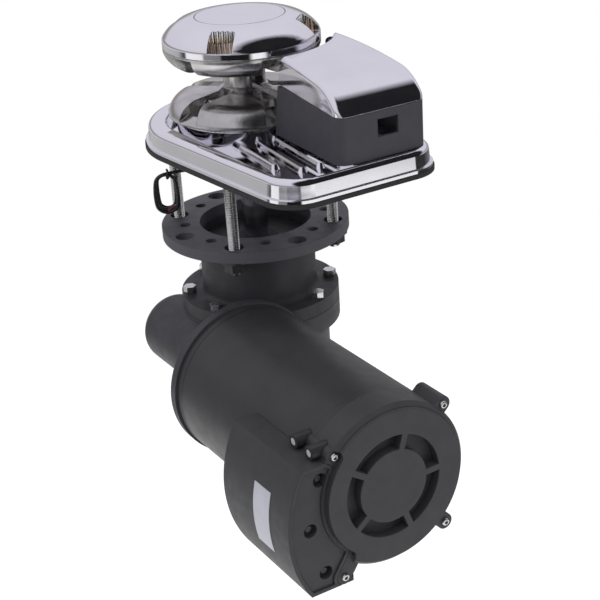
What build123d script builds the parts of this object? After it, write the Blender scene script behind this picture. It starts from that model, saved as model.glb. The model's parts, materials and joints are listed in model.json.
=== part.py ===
from build123d import *
import os
from math import degrees, pi, radians, tan

# Vertical anchor windlass. Millimetres. The origin is on the gypsy shaft's axis at the deck,
# the underside of the gasket. +Z is up, +X runs towards the chain pipe and along the motor.

# Clearances
RUNNING_GAP = 0.05
FACE_GAP = 0.3

# Deck plate, a teardrop: a round end about the shaft and a squarer end over the chain pipe
BASE_R = 89
BASE_CORNER_X = 152
BASE_CORNER_Y = 46
BASE_CORNER_R = 31
GASKET_T = 3.5
LIP_INSET = 1
LIP_T = 3
WALL_INSET = 3
WALL_DRAFT = 5
RIM_TOP = 21.5
RIM_OUTER_FILLET = 5
RIM_INNER_FILLET = 2.5
TRAY_FLOOR = 12
TRAY_R = 69
TRAY_CORNER_Y = 44
TRAY_CORNER_R = 21
PEDESTAL_R = 60
PEDESTAL_TOP = 24.5
PEDESTAL_FILLET = 2
PEDESTAL_WELL_R = 49
PEDESTAL_WELL_FLOOR = 15
SHAFT_BOSS_R = 22
CHAIN_PIPE_X = 112
CHAIN_PIPE_Y = 23
CHAIN_PIPE_LENGTH = 62
CHAIN_PIPE_WIDTH = 54
CHAIN_PIPE_CORNER_R = 20
RIB_WIDTH = 8
RIB_HEIGHT = 4.5
RIB_LENGTH = 84
RIB_TURN = -5.8
RIB_TAPER = 25
RIB_CENTRES = ((80, -40.2), (100.3, -27.5), (100.7, -11.4))
LAND_INSET = 1
LAND_SETBACK = 8.5

# Studs that clamp deck and gearbox together
STUD_PCD = 140
STUD_COUNT = 4
STUD_R = 5
STUD_THREAD_R = 4.5
STUD_TOP = 10.5
WASHER_R = 12
WASHER_T = 2.5
NUT_ACROSS_FLATS = 17
NUT_T = 8
STUD_PROUD = 4

# Shaft
SHAFT_R = 11
SHAFT_TOP_R = 10
THREAD_R = 9
THREAD_TOP = 97
WASHER_SEAT = 86
WHEEL_SEAT_R = 12.5
COLLAR_R = 14.5
FOOT_R = 10
BUSH_R = 16
BUSH_BOTTOM = 6
SEAL_BOTTOM = 20
SEAL_TOP = 23.5
KEY_WIDTH = 6
KEY_BOTTOM_R = 6.5
KEY_TOP_R = 12.5
WHEEL_KEY_WIDTH = 8
WHEEL_KEY_BOTTOM_R = 8.5
WHEEL_KEY_TOP_R = 15.5

# Gypsy for 10 mm chain: two mirrored flanges with five rounded lobes each
GYPSY_BOTTOM = 26
GYPSY_TOP = 84
GYPSY_R = 66.5
GYPSY_LOBES = 5
LOBE_CENTRE_ANGLE = -42
NECK_R = 18
LOBE_FACE = 43.3
LOBE_ROUND_R = 50
LOBE_SHOULDER = (61, 38)
RIM_EDGE_T = 3
SLOT_FLOOR_Z = 41.5
CHAIN_SLOT_WIDTH = 13.5
CHAIN_SLOT_MOUTH = 26
GYPSY_BORE_R = 12.5
GYPSY_BUSH_HALF = 15
CONE_MOUTH_R = 38
CONE_FLOOR_R = 33
CONE_DEPTH = 12.5
CONE_RECESSION = 0.5
MAGNET_R = 3
MAGNET_LENGTH = 5

# Cap over the clutch
CAP_BOTTOM = 84.4
CAP_R = 66.5
CAP_SHOULDER_Z = 91
CAP_SHOULDER_FILLET = 6
CAP_DOME_MID = (54.4, 102.5)
CAP_TOP = 106.7
CAP_DISC_R = 38.25
CAP_DISC_T = 3
CAP_DISC_CROWN = 0.8
CAP_HUB_R = 18
CAP_HUB_BOTTOM = 86
CAP_BORE_TOP = 99
CAP_CAVITY_R = 46
CAP_CAVITY_TOP = 98
CLUTCH_WASHER_T = 2.2
LEVER_POCKETS = 4
LEVER_POCKET_WIDTH = 21
LEVER_POCKET_LENGTH = 26
LEVER_POCKET_BACK_R = 52
LEVER_POCKET_FLOOR = 90
LEVER_FLUTE_R = 2.2
LEVER_FLUTE_PITCH = 4

# Chain-pipe hood and its hinged lid
HOOD_NEAR_Y = -8.3
HOOD_FOOT_NEAR_Y = -13
HOOD_END_X = 173
HOOD_END_NEAR_Y = -18.6
HOOD_END_FAR_Y = 62.8
HOOD_FAR_X = 19
HOOD_FAR_Y = 70
HOOD_MOUTH_R = 70
HOOD_WALL = 3
HOOD_CORNER_R = 9
HOOD_SEAM_X = 70
HOOD_SEAM_Z = 63
HOOD_SEAM_DROP = 4.5
HOOD_RELIEF = 1.8
LID_WALL = 2.5
LID_TIP_X = 30
LID_EDGE_FILLET = 5
LID_CROWN = ((-20, 83.3), (65, 87), (140, 81))
LID_FRONT_R = 77
LID_FRONT_Z = 82
LID_FRONT_SLOPE = 0.35
LID_LIP_BOTTOM = 76
HINGE_PIN_R = 2
HINGE_EAR_R = 4
HINGE_EAR_T = 3
NEAR_EAR_START = 12
FAR_EAR_START = 6
HINGE_SKIN = 1
HINGE_WEB_TOP = 56
HOOD_SCREWS = ((84, 51.5, 1), (158, -1.5, -1), (158, 48, 1))
HOOD_BOSS_R = 6
HOOD_BOSS_REACH = 9
HOOD_BOSS_T = 5
HOOD_FLOOR_T = 4
HOOD_FLOOR_END_X = 88
HOOD_FLOOR_END_Y = 7
HINGE_NEAR = (77.7, -9.07, 79)
HINGE_FAR = (36, 69.2, 79)
NOTCH_Y = 26
NOTCH_WIDTH = 19
NOTCH_HEIGHT = 14
NOTCH_BOTTOM = 38

# Chain stripper
STRIPPER_Z = 51
STRIPPER_T = 4
STRIPPER_TIP_X = 19.7
STRIPPER_TIP_Y = -1.9
STRIPPER_LEG_X = 86
STRIPPER_ROOT_Y = -4.3
STRIPPER_FOOT_LENGTH = 10
STRIPPER_FOOT_WIDTH = 12
STRIPPER_SCREW_BACK = 5.5
STRIPPER_SCREW_SIDE = 6.4
SMALL_SCREW_R = 2.2
SMALL_SCREW_HEAD_R = 4
SMALL_SCREW_HEAD_T = 3
SMALL_SCREW_DEPTH = 6

# Gearbox
FLANGE_TOP = -74
FLANGE_R = 82.5
FLANGE_T = 10
FLANGE_BORE_R = 49
RECESS_DEPTH = 18
STUD_HOLE_R = 8.2
STUD_HOLES = 8
DECK_HOLE_PCD = 124
DECK_HOLE_R = 4.75
GEAR_NECK_R = 51
GEAR_NECK_FILLET = 5
OIL_SEAL_R = 20
OIL_SEAL_T = 8
UPPER_BEARING_R = 26
UPPER_BEARING_T = 16
COVER_CHAMBER_R = 44
COVER_CHAMBER_TOP = -120
COVER_FLANGE_R = 70.5
COVER_FLANGE_TOP = -138
CASTING_BOTTOM = -149.5
COVER_BOLT_PCD = 127
COVER_BOLT_R = 3
COVER_BOLT_HEAD_R = 5
COVER_BOLT_HEAD_T = 6
COVER_BOLT_LENGTH = 24
COVER_BOLTS = 8
SEAM_T = 1
BODY_FLANGE_T = 17.5
BODY_R = 60
BODY_BOTTOM = -229
BODY_FILLET = 6
CHAMBER_R = 54
CHAMBER_FLOOR = -204.5
FOOT_BEARING_R = 23.5
FOOT_BEARING_T = 14

# Worm drive: the worm lies along X below and beside the shaft
WORM_Y = -60
WORM_Z = -185
MODULE = 2
TOOTH_PLAY = 0.32
WORM_TIP = 1.8
WHEEL_WEB_T = 10
WHEEL_HUB_R = 22
WHEEL_RIM_T = 5
WHEEL_TEETH = 50
WHEEL_WIDTH = 20
WORM_PITCH_R = 10
WORM_THREAD_LENGTH = 52
WORM_BEARING_R = 20
WORM_BEARING_BORE_R = 8.5
WORM_BEARING_X = 38
WORM_BEARING_T = 14
TUNNEL_R = 32
TUNNEL_END_X = -68
TUNNEL_END_FILLET = 12
MOTOR_FLARE_X = 40
MOTOR_RING_R = 68.5
MOTOR_RING_X = 64
MOTOR_FACE_X = 72
PILOT_R = 40
PILOT_DEPTH = 4

# Motor
MOTOR_R = 66.5
YOKE_WALL = 5
BELL_T = 8
YOKE_END_X = 256
REAR_BELL_T = 6
SPIGOT = 4
ARMATURE_GAP = 1.5
ARMATURE_X = 108
ARMATURE_LENGTH = 88
ARMATURE_SLOTS = 16
MAGNET_T = 5.5
MAGNET_SPACE = 18
SLOT_DEPTH = 14
SLOT_WIDTH = 6
SLOT_MOUTH = 2.5
END_TURN = 11
BELL_BORE_R = 14
BRUSH_PLATE_X = 236
POLES = 4
COMMUTATOR_R = 22
COMMUTATOR_X = 214
COMMUTATOR_LENGTH = 20
MOTOR_SHAFT_R = 8.5
MOTOR_TAIL_R = 7.5
TANG = 9
TANG_X = 58
MOTOR_BEARING_R = 17.5
MOTOR_BEARING_T = 11
BRUSH_WIDTH = 8
BRUSH_AXIAL = 12
BRUSH_LENGTH = 20

# Motor end cover
COVER_END_X = 289
COVER_WALL = 3
COVER_SHOULDER_X = 284
COVER_LIP_R = 62
COVER_GROOVE_OUTER_R = 41.5
COVER_GROOVE_INNER_R = 29.5
COVER_GROOVE_DEPTH = 9
COVER_RIBS = 5
COVER_RIB_T = 5
COVER_RIB_ANGLE = 2
EAR_R = 6.5
EAR_SCREW_R = 2.5
EAR_LENGTH = 22
EAR_HEAD_R = 4.5
EAR_HEAD_T = 4
COVER_INNER_R = 57
BOX_JOIN_Y = -96
EAR_WEB_R = 55
EARS = ((70, 45), (72.5, -47), (62, 140), (78, -124))

# Control box against the motor's side
BOX_START_X = 189
BOX_END_X = 284
BOX_ARC_R = 103
BOX_LEFT_Y = -149
BOX_ARC_Z = -200.5
BOX_TOP_Z = -148.3
BOX_BOTTOM_Z = -256
BOX_BOTTOM_Y = -58
BOX_WALL = 3
BOX_RIM = 1.5
BOX_PLATE_T = 3
PORT_R = 5.5
PORTS = ((29.6, -161), (19.3, -199.9), (30.3, -240.4))
PORT_BOSS_R = 7.5
BOX_SCREW_R = 2.5
BOX_SCREW_LENGTH = 14
TERMINAL_R = 5.5
TERMINAL_DROP = 24
TERMINAL_SINK = 5
TERMINALS_X = (252, 273)
LABEL_T = 0.4
LABEL_X = (234.5, 257)
LABEL_Z = (-225, -174.5)

# Chain sensor and its cable
SENSOR_RING_R = 42.5
SENSOR_ANGLE = -135
SENSOR_R = 5
SENSOR_BOTTOM = -12
SENSOR_TOP = 22
CABLE_R = 1.5
CABLE_ROUTE = (
    (-30.05, -30.05, -12),
    (-30.05, -30.05, -22),
    (-33.3, -37.8, -29),
    (-38, -49.5, -29.5),
    (-40.4, -57, -34.1),
)
COIL_CENTRE = (-43.6, -62.5, -48)
COIL_RUN = (0.507, 0.862, 0)
COIL_END_R = 9
COIL_STRAIGHT = 15
COIL_BUNDLE_R = 4

# Levels that follow from the sizes above
FLANGE_BOTTOM = FLANGE_TOP - FLANGE_T
STUD_BOTTOM = FLANGE_BOTTOM - WASHER_T - NUT_T - STUD_PROUD
OIL_SEAL_TOP = FLANGE_TOP - RECESS_DEPTH
UPPER_BEARING_TOP = OIL_SEAL_TOP - OIL_SEAL_T
UPPER_BEARING_BOTTOM = UPPER_BEARING_TOP - UPPER_BEARING_T
BODY_TOP = CASTING_BOTTOM - SEAM_T
BODY_FLANGE_BOTTOM = BODY_TOP - BODY_FLANGE_T
WHEEL_TOP = WORM_Z + WHEEL_WIDTH / 2
WHEEL_HUB_TOP = WHEEL_TOP + 2
SHAFT_BOTTOM = CHAMBER_FLOOR - FOOT_BEARING_T
BOX_ARC_Y = BOX_LEFT_Y + BOX_ARC_R
ARMATURE_R = MOTOR_R - YOKE_WALL - MAGNET_T - ARMATURE_GAP
foot_z = RIM_TOP + HOOD_FLOOR_T
stripper_screw = (STRIPPER_LEG_X - STRIPPER_SCREW_BACK, STRIPPER_ROOT_Y + STRIPPER_SCREW_SIDE)
SHAFT_KEYS = (
    (GYPSY_BOTTOM + 1, GYPSY_BOTTOM + CONE_DEPTH - 0.5, SHAFT_TOP_R, KEY_WIDTH, KEY_BOTTOM_R),
    (GYPSY_TOP - CONE_DEPTH + 0.5, GYPSY_TOP - 1, SHAFT_TOP_R, KEY_WIDTH, KEY_BOTTOM_R),
    (WORM_Z - WHEEL_WIDTH / 2, WORM_Z + WHEEL_WIDTH / 2, WHEEL_SEAT_R, WHEEL_KEY_WIDTH, WHEEL_KEY_BOTTOM_R),
)


def deck_outline(inset):
    """Outline of the deck plate, stepped in from the gasket's edge."""
    with BuildSketch() as outline:
        Circle(BASE_R - inset)
        with Locations((BASE_CORNER_X, BASE_CORNER_Y), (BASE_CORNER_X, -BASE_CORNER_Y)):
            Circle(BASE_CORNER_R - inset)
        make_hull()
    return outline.sketch


def tray_outline(inset):
    """Outline of the sunk tray inside the deck plate's rim."""
    with BuildSketch() as outline:
        Circle(TRAY_R - inset)
        with Locations((BASE_CORNER_X, TRAY_CORNER_Y), (BASE_CORNER_X, -TRAY_CORNER_Y)):
            Circle(TRAY_CORNER_R - inset)
        make_hull()
    return outline.sketch


def hood_outline(inset, near_y=HOOD_NEAR_Y, tip_x=HOOD_FAR_X, height=0):
    """Plan of the hood, whose sides run on to the gypsy; the far one ends at tip_x."""
    near_slope = (HOOD_END_NEAR_Y - near_y) / (HOOD_END_X - HOOD_MOUTH_R)
    far_slope = (HOOD_END_FAR_Y - HOOD_FAR_Y) / (HOOD_END_X - HOOD_FAR_X)
    near_x = HOOD_MOUTH_R - 12
    end_x = HOOD_END_X - inset
    with BuildSketch(Plane.XY.offset(height)) as outline:
        with BuildLine():
            Polyline(
                (near_x, near_y + near_slope * (near_x - HOOD_MOUTH_R) + inset),
                (end_x, near_y + near_slope * (end_x - HOOD_MOUTH_R) + inset),
                (end_x, HOOD_FAR_Y + far_slope * (end_x - HOOD_FAR_X) - inset),
                (tip_x, HOOD_FAR_Y + far_slope * (tip_x - HOOD_FAR_X) - inset),
                close=True,
            )
        make_face()
        fillet(outline.vertices().sort_by(Axis.X)[-2:], HOOD_CORNER_R - inset)
    return outline.sketch


def hood_block(inset):
    """Solid hood body, whose near side leans out to its foot."""
    with BuildPart() as block:
        add(hood_outline(inset, HOOD_FOOT_NEAR_Y, height=RIM_TOP))
        add(hood_outline(inset, height=HOOD_SEAM_Z + 1))
        loft()
    return block.part


def hinge_frame(point, inward):
    """Plane at a hinge pin's outer end, with its normal along the pin into the hood."""
    along = (Vector(*HINGE_FAR) - Vector(*HINGE_NEAR)).normalized() * inward
    return Plane(origin=point, x_dir=Vector(0, 0, 1), z_dir=along)


def seam_wedge(lift):
    """Everything above the sloping seam between hood and lid, lifted by a gap."""
    fall = HOOD_SEAM_DROP / (HOOD_END_X - HOOD_SEAM_X)
    with BuildPart() as wedge:
        with BuildSketch(Plane.XZ.offset(-200)):
            with BuildLine():
                Polyline(
                    (0, HOOD_SEAM_Z + lift + fall * HOOD_SEAM_X),
                    (200, HOOD_SEAM_Z + lift + fall * (HOOD_SEAM_X - 200)),
                    (200, 200),
                    (0, 200),
                    close=True,
                )
            make_face()
        extrude(amount=400)
    return wedge.part


def front_cone(inset):
    """Cone about the shaft that the lid's front follows round the gypsy and the cap."""
    low_z = HOOD_SEAM_Z - 20
    high_z = CAP_TOP
    with BuildPart() as cone:
        with BuildSketch(Plane.XZ):
            with BuildLine():
                Polyline(
                    (0, low_z),
                    (LID_FRONT_R + inset + LID_FRONT_SLOPE * (low_z - LID_FRONT_Z), low_z),
                    (LID_FRONT_R + inset + LID_FRONT_SLOPE * (high_z - LID_FRONT_Z), high_z),
                    (0, high_z),
                    close=True,
                )
            make_face()
        revolve(axis=Axis.Z)
    return cone.part


def lid_block(inset):
    """Solid under the lid's crowned top, stepped in all round by one wall."""
    with BuildPart() as block:
        with BuildSketch(Plane.XZ.offset(-100)):
            with BuildLine():
                start, middle, end = LID_CROWN
                crown = ThreePointArc(start, middle, end)
                nose = TangentArc(end, (HOOD_END_X, HOOD_SEAM_Z - HOOD_SEAM_DROP), tangent=crown % 1)
                Polyline(nose @ 1, (HOOD_END_X, 40), (start[0], 40), start)
            make_face()
            offset(amount=-inset)
        extrude(amount=200)
        with BuildSketch():
            add(hood_outline(inset, tip_x=LID_TIP_X))
        extrude(amount=200, mode=Mode.INTERSECT)
        sides = block.edges().filter_by(lambda e: e.geom_type != GeomType.LINE and e.center().X > LID_TIP_X + 30)
        fillet(sides, LID_EDGE_FILLET - inset)
    return block.part


def ring(outer_r, inner_r, start, end, plane=Plane.XY):
    """Plain ring, or disc without an inner radius, from start to end along the plane's normal."""
    with BuildPart() as turned:
        with BuildSketch(plane.offset(start)):
            Circle(outer_r)
            if inner_r:
                Circle(inner_r, mode=Mode.SUBTRACT)
        extrude(amount=end - start)
    return turned.part


def ear_spots(radius, start, end):
    """Round bars along the four cover screws."""
    with BuildPart() as bars:
        with BuildSketch(worm_line.offset(start)):
            for spot_r, angle in EARS:
                with PolarLocations(spot_r, 1, start_angle=angle):
                    Circle(radius)
        extrude(amount=end - start)
    return bars.part


def motor_ears(gap, start, end):
    """Lugs on the motor's rim for the cover screws, grown all round by a gap."""
    with BuildPart() as ears:
        add(ear_spots(EAR_R + gap, start, end))
        with BuildSketch(worm_line.offset(start)):
            for spot_r, angle in EARS:
                with PolarLocations((spot_r + EAR_WEB_R) / 2, 1, start_angle=angle):
                    Rectangle(spot_r - EAR_WEB_R, 2 * (EAR_R + gap))
        extrude(amount=end - start)
    return ears.part


def ball_race(bore_r, outer_r):
    """Radius where a shielded bearing's inner ring ends."""
    return bore_r + 0.35 * (outer_r - bore_r)


def box_section(inset, inner_r):
    """Crescent between the motor and the box's arc, in the motor's cross-section."""
    with BuildSketch() as section:
        with Locations((BOX_ARC_Y, BOX_ARC_Z)):
            Circle(BOX_ARC_R - inset)
        with Locations(((BOX_LEFT_Y + BOX_BOTTOM_Y) / 2, (BOX_TOP_Z + BOX_BOTTOM_Z) / 2)):
            Rectangle(
                BOX_BOTTOM_Y - BOX_LEFT_Y - 2 * inset, BOX_TOP_Z - BOX_BOTTOM_Z - 2 * inset, mode=Mode.INTERSECT
            )
        if inner_r < MOTOR_R:
            with Locations((BOX_JOIN_Y - inset, BOX_ARC_Z)):
                Rectangle(BOX_ARC_R, 2 * BOX_ARC_R, align=(Align.MAX, Align.CENTER), mode=Mode.INTERSECT)
        with Locations((WORM_Y, WORM_Z)):
            Circle(inner_r + inset, mode=Mode.SUBTRACT)
    return section.sketch


worm_line = Plane(origin=(0, WORM_Y, WORM_Z), x_dir=(0, 1, 0), z_dir=(1, 0, 0))
worm_side = Plane(origin=(0, WORM_Y, WORM_Z), x_dir=(1, 0, 0), z_dir=(0, -1, 0))
worm_axis = Axis((0, WORM_Y, WORM_Z), (1, 0, 0))

# Deck gasket
with BuildPart() as deck_gasket:
    with BuildSketch():
        add(deck_outline(0))
        Circle(FLANGE_BORE_R, mode=Mode.SUBTRACT)
        with PolarLocations(STUD_PCD / 2, STUD_COUNT, start_angle=45):
            Circle(STUD_R + FACE_GAP, mode=Mode.SUBTRACT)
        with Locations((CHAIN_PIPE_X, CHAIN_PIPE_Y)):
            RectangleRounded(
                CHAIN_PIPE_LENGTH + 2, CHAIN_PIPE_WIDTH + 2, CHAIN_PIPE_CORNER_R + 1, mode=Mode.SUBTRACT
            )
    extrude(amount=GASKET_T)

# Deck plate with its lip, drafted wall, sunk tray, gypsy pedestal and rub ribs
with BuildPart() as base_plate:
    with BuildSketch(Plane.XY.offset(GASKET_T)):
        add(deck_outline(LIP_INSET))
    extrude(amount=LIP_T)
    with BuildSketch(Plane.XY.offset(GASKET_T)):
        add(deck_outline(WALL_INSET))
    extrude(amount=RIM_TOP - GASKET_T, taper=WALL_DRAFT)
    fillet(base_plate.faces().sort_by(Axis.Z)[-1].edges(), RIM_OUTER_FILLET)
    with BuildSketch(Plane.XY.offset(TRAY_FLOOR)):
        add(tray_outline(0))
    extrude(amount=RIM_TOP, mode=Mode.SUBTRACT)
    rim = base_plate.faces().filter_by(Plane.XY).sort_by(Axis.Z)[-1]
    fillet(rim.inner_wires()[0].edges(), RIM_INNER_FILLET)
    with BuildSketch(Plane.XY.offset(TRAY_FLOOR)):
        add(hood_outline(LAND_INSET, HOOD_FOOT_NEAR_Y))
        with Locations((0, LAND_SETBACK)):
            add(hood_outline(LAND_INSET, HOOD_FOOT_NEAR_Y), mode=Mode.INTERSECT)
        Circle(HOOD_MOUTH_R, mode=Mode.SUBTRACT)
    extrude(amount=RIM_TOP - TRAY_FLOOR)
    with BuildSketch(Plane.XY.offset(TRAY_FLOOR)):
        Circle(PEDESTAL_R)
    extrude(amount=PEDESTAL_TOP - TRAY_FLOOR)
    fillet(base_plate.faces().sort_by(Axis.Z)[-1].edges(), PEDESTAL_FILLET)
    with BuildSketch(Plane.XY.offset(PEDESTAL_WELL_FLOOR)):
        Circle(PEDESTAL_WELL_R)
        Circle(SHAFT_BOSS_R, mode=Mode.SUBTRACT)
    extrude(amount=PEDESTAL_TOP, mode=Mode.SUBTRACT)
    with BuildSketch(Plane.XY.offset(SEAL_TOP)):
        Circle(PEDESTAL_WELL_R)
    extrude(amount=PEDESTAL_TOP, mode=Mode.SUBTRACT)
    with BuildSketch(Plane.XY.offset(GASKET_T)):
        Circle(SHAFT_R + 1)
        with Locations((CHAIN_PIPE_X, CHAIN_PIPE_Y)):
            RectangleRounded(CHAIN_PIPE_LENGTH, CHAIN_PIPE_WIDTH, CHAIN_PIPE_CORNER_R)
        with PolarLocations(SENSOR_RING_R, 1, start_angle=SENSOR_ANGLE):
            Circle(SENSOR_R)
    extrude(amount=RIM_TOP, mode=Mode.SUBTRACT)
    with BuildSketch(Plane.XY.offset(BUSH_BOTTOM)):
        Circle(BUSH_R)
    extrude(amount=RIM_TOP, mode=Mode.SUBTRACT)
    with BuildSketch(Plane.XY.offset(GASKET_T)):
        with PolarLocations(STUD_PCD / 2, STUD_COUNT, start_angle=45):
            Circle(STUD_THREAD_R)
    extrude(amount=STUD_TOP - GASKET_T, mode=Mode.SUBTRACT)
    for rib_x, rib_y in RIB_CENTRES:
        with BuildSketch(Plane.XY.offset(TRAY_FLOOR)):
            with Locations(Location((rib_x, rib_y, 0), (0, 0, RIB_TURN))):
                SlotOverall(RIB_LENGTH, RIB_WIDTH)
        extrude(amount=RIB_HEIGHT, taper=RIB_TAPER)
    with BuildSketch(Plane.XY.offset(RIM_TOP)):
        with Locations(stripper_screw, *[(x, y) for x, y, side in HOOD_SCREWS]):
            Circle(SMALL_SCREW_R)
    extrude(amount=-SMALL_SCREW_DEPTH, mode=Mode.SUBTRACT)

# Plain bush and lip seal for the shaft in the deck plate
with BuildPart() as shaft_bush:
    add(ring(BUSH_R, SHAFT_R + RUNNING_GAP, BUSH_BOTTOM, SEAL_BOTTOM))

with BuildPart() as shaft_seal:
    add(ring(BUSH_R, SHAFT_R + RUNNING_GAP, SEAL_BOTTOM, SEAL_TOP))

# Studs through the deck, with their washers and nuts under the gearbox flange
with BuildPart() as deck_studs:
    with BuildSketch(Plane.XY.offset(STUD_BOTTOM)):
        with PolarLocations(STUD_PCD / 2, STUD_COUNT, start_angle=45):
            Circle(STUD_THREAD_R)
    extrude(amount=STUD_TOP - STUD_BOTTOM)
    chamfer(deck_studs.faces().group_by(Axis.Z)[0].edges(), 1)
    with BuildSketch(Plane.XY.offset(FLANGE_BOTTOM)):
        with PolarLocations(STUD_PCD / 2, STUD_COUNT, start_angle=45):
            Circle(STUD_R)
    extrude(amount=-FLANGE_BOTTOM)

with BuildPart() as stud_washers:
    with BuildSketch(Plane.XY.offset(FLANGE_BOTTOM)):
        with PolarLocations(STUD_PCD / 2, STUD_COUNT, start_angle=45):
            Circle(WASHER_R)
            Circle(STUD_R + FACE_GAP, mode=Mode.SUBTRACT)
    extrude(amount=-WASHER_T)

with BuildPart() as stud_nuts:
    with BuildSketch(Plane.XY.offset(FLANGE_BOTTOM - WASHER_T)):
        with PolarLocations(STUD_PCD / 2, STUD_COUNT, start_angle=45):
            RegularPolygon(NUT_ACROSS_FLATS / 2, 6, major_radius=False)
            Circle(STUD_THREAD_R, mode=Mode.SUBTRACT)
    extrude(amount=-NUT_T)

# Main shaft, turned, with its three keyseats
with BuildPart() as main_shaft:
    with BuildSketch(Plane.XZ):
        with BuildLine():
            Polyline(
                (0, SHAFT_BOTTOM),
                (FOOT_R, SHAFT_BOTTOM),
                (FOOT_R, CHAMBER_FLOOR),
                (WHEEL_SEAT_R, CHAMBER_FLOOR),
                (WHEEL_SEAT_R, WHEEL_HUB_TOP),
                (COLLAR_R, WHEEL_HUB_TOP),
                (COLLAR_R, UPPER_BEARING_BOTTOM),
                (WHEEL_SEAT_R, UPPER_BEARING_BOTTOM),
                (WHEEL_SEAT_R, UPPER_BEARING_TOP),
                (SHAFT_R, UPPER_BEARING_TOP),
                (SHAFT_R, GYPSY_BOTTOM),
                (SHAFT_TOP_R, GYPSY_BOTTOM),
                (SHAFT_TOP_R, WASHER_SEAT),
                (THREAD_R, WASHER_SEAT),
                (THREAD_R, THREAD_TOP - 1),
                (THREAD_R - 1, THREAD_TOP),
                (0, THREAD_TOP),
                close=True,
            )
        make_face()
    revolve(axis=Axis.Z)
    for seat_bottom, seat_top, seat_r, key_width, key_r in SHAFT_KEYS:
        with BuildSketch(Plane.XY.offset(seat_bottom)):
            with Locations((seat_r, 0)):
                Rectangle(2 * (seat_r - key_r), key_width)
        extrude(amount=seat_top - seat_bottom, mode=Mode.SUBTRACT)

with BuildPart() as shaft_keys:
    for seat_bottom, seat_top, seat_r, key_width, key_r in SHAFT_KEYS[:2]:
        with BuildSketch(Plane.XY.offset(seat_bottom)):
            with Locations(((key_r + KEY_TOP_R) / 2, 0)):
                Rectangle(KEY_TOP_R - key_r, key_width)
        extrude(amount=seat_top - seat_bottom)

with BuildPart() as wheel_key:
    seat_bottom, seat_top, seat_r, key_width, key_r = SHAFT_KEYS[2]
    with BuildSketch(Plane.XY.offset(seat_bottom)):
        with Locations(((key_r + WHEEL_KEY_TOP_R) / 2, 0)):
            Rectangle(WHEEL_KEY_TOP_R - key_r, key_width)
    extrude(amount=seat_top - seat_bottom)

# Clutch cones, the lower one on the shaft's shoulder and the upper one under the cap
with BuildPart() as lower_cone:
    with BuildSketch(Plane.XZ):
        with BuildLine():
            Polyline(
                (SHAFT_TOP_R, GYPSY_BOTTOM),
                (CONE_MOUTH_R - FACE_GAP, GYPSY_BOTTOM),
                (CONE_FLOOR_R - FACE_GAP, GYPSY_BOTTOM + CONE_DEPTH - FACE_GAP),
                (SHAFT_TOP_R, GYPSY_BOTTOM + CONE_DEPTH - FACE_GAP),
                close=True,
            )
        make_face()
    revolve(axis=Axis.Z)
    with BuildSketch(Plane.XY.offset(GYPSY_BOTTOM)):
        with Locations((KEY_TOP_R / 2, 0)):
            Rectangle(KEY_TOP_R + 2 * FACE_GAP, KEY_WIDTH)
    extrude(amount=CONE_DEPTH, mode=Mode.SUBTRACT)

with BuildPart() as upper_cone:
    with BuildSketch(Plane.XZ):
        with BuildLine():
            Polyline(
                (SHAFT_TOP_R + RUNNING_GAP, GYPSY_TOP - CONE_DEPTH + FACE_GAP),
                (CONE_FLOOR_R - FACE_GAP, GYPSY_TOP - CONE_DEPTH + FACE_GAP),
                (CONE_MOUTH_R - FACE_GAP - CONE_RECESSION, GYPSY_TOP - CONE_RECESSION),
                (SHAFT_TOP_R + RUNNING_GAP, GYPSY_TOP - CONE_RECESSION),
                close=True,
            )
        make_face()
    revolve(axis=Axis.Z)
    with BuildSketch(Plane.XY.offset(GYPSY_TOP - CONE_DEPTH)):
        with Locations((KEY_TOP_R / 2, 0)):
            Rectangle(KEY_TOP_R + 2 * FACE_GAP, KEY_WIDTH + 2 * RUNNING_GAP)
    extrude(amount=CONE_DEPTH, mode=Mode.SUBTRACT)

with BuildPart() as clutch_washer:
    washer_bottom = GYPSY_TOP - CONE_RECESSION
    add(ring(CAP_HUB_R - 1, SHAFT_TOP_R + FACE_GAP, washer_bottom, washer_bottom + CLUTCH_WASHER_T))

# Gypsy: two mirrored flanges, cut by five slots each that hold the upright links
slot_angle = LOBE_CENTRE_ANGLE + 180 / GYPSY_LOBES
gypsy_mid = (GYPSY_BOTTOM + GYPSY_TOP) / 2

with BuildPart() as chain_slot:
    with BuildSketch(Plane.XY.offset(GYPSY_BOTTOM - 2)):
        with BuildLine():
            Polyline(
                (0, -CHAIN_SLOT_WIDTH / 2),
                (NECK_R, -CHAIN_SLOT_WIDTH / 2),
                (LOBE_ROUND_R + 6, -CHAIN_SLOT_WIDTH / 2 - 1),
                (GYPSY_R + 4, -CHAIN_SLOT_MOUTH / 2),
                (GYPSY_R + 4, CHAIN_SLOT_MOUTH / 2),
                (LOBE_ROUND_R + 6, CHAIN_SLOT_WIDTH / 2 + 1),
                (NECK_R, CHAIN_SLOT_WIDTH / 2),
                (0, CHAIN_SLOT_WIDTH / 2),
                close=True,
            )
        make_face()
    extrude(amount=gypsy_mid - GYPSY_BOTTOM + 2)
    with BuildSketch(Plane.XZ):
        with BuildLine():
            Polyline(
                (NECK_R + 2, SLOT_FLOOR_Z),
                (NECK_R + 21, SLOT_FLOOR_Z),
                (NECK_R + 24, SLOT_FLOOR_Z - 5.5),
                (LOBE_ROUND_R + 8, SLOT_FLOOR_Z - 8.5),
                (GYPSY_R + 5.5, GYPSY_BOTTOM - 2),
                (GYPSY_R + 5.5, gypsy_mid),
                (NECK_R + 2, gypsy_mid),
                close=True,
            )
        make_face()
    revolve(axis=Axis.Z, mode=Mode.INTERSECT)

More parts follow.
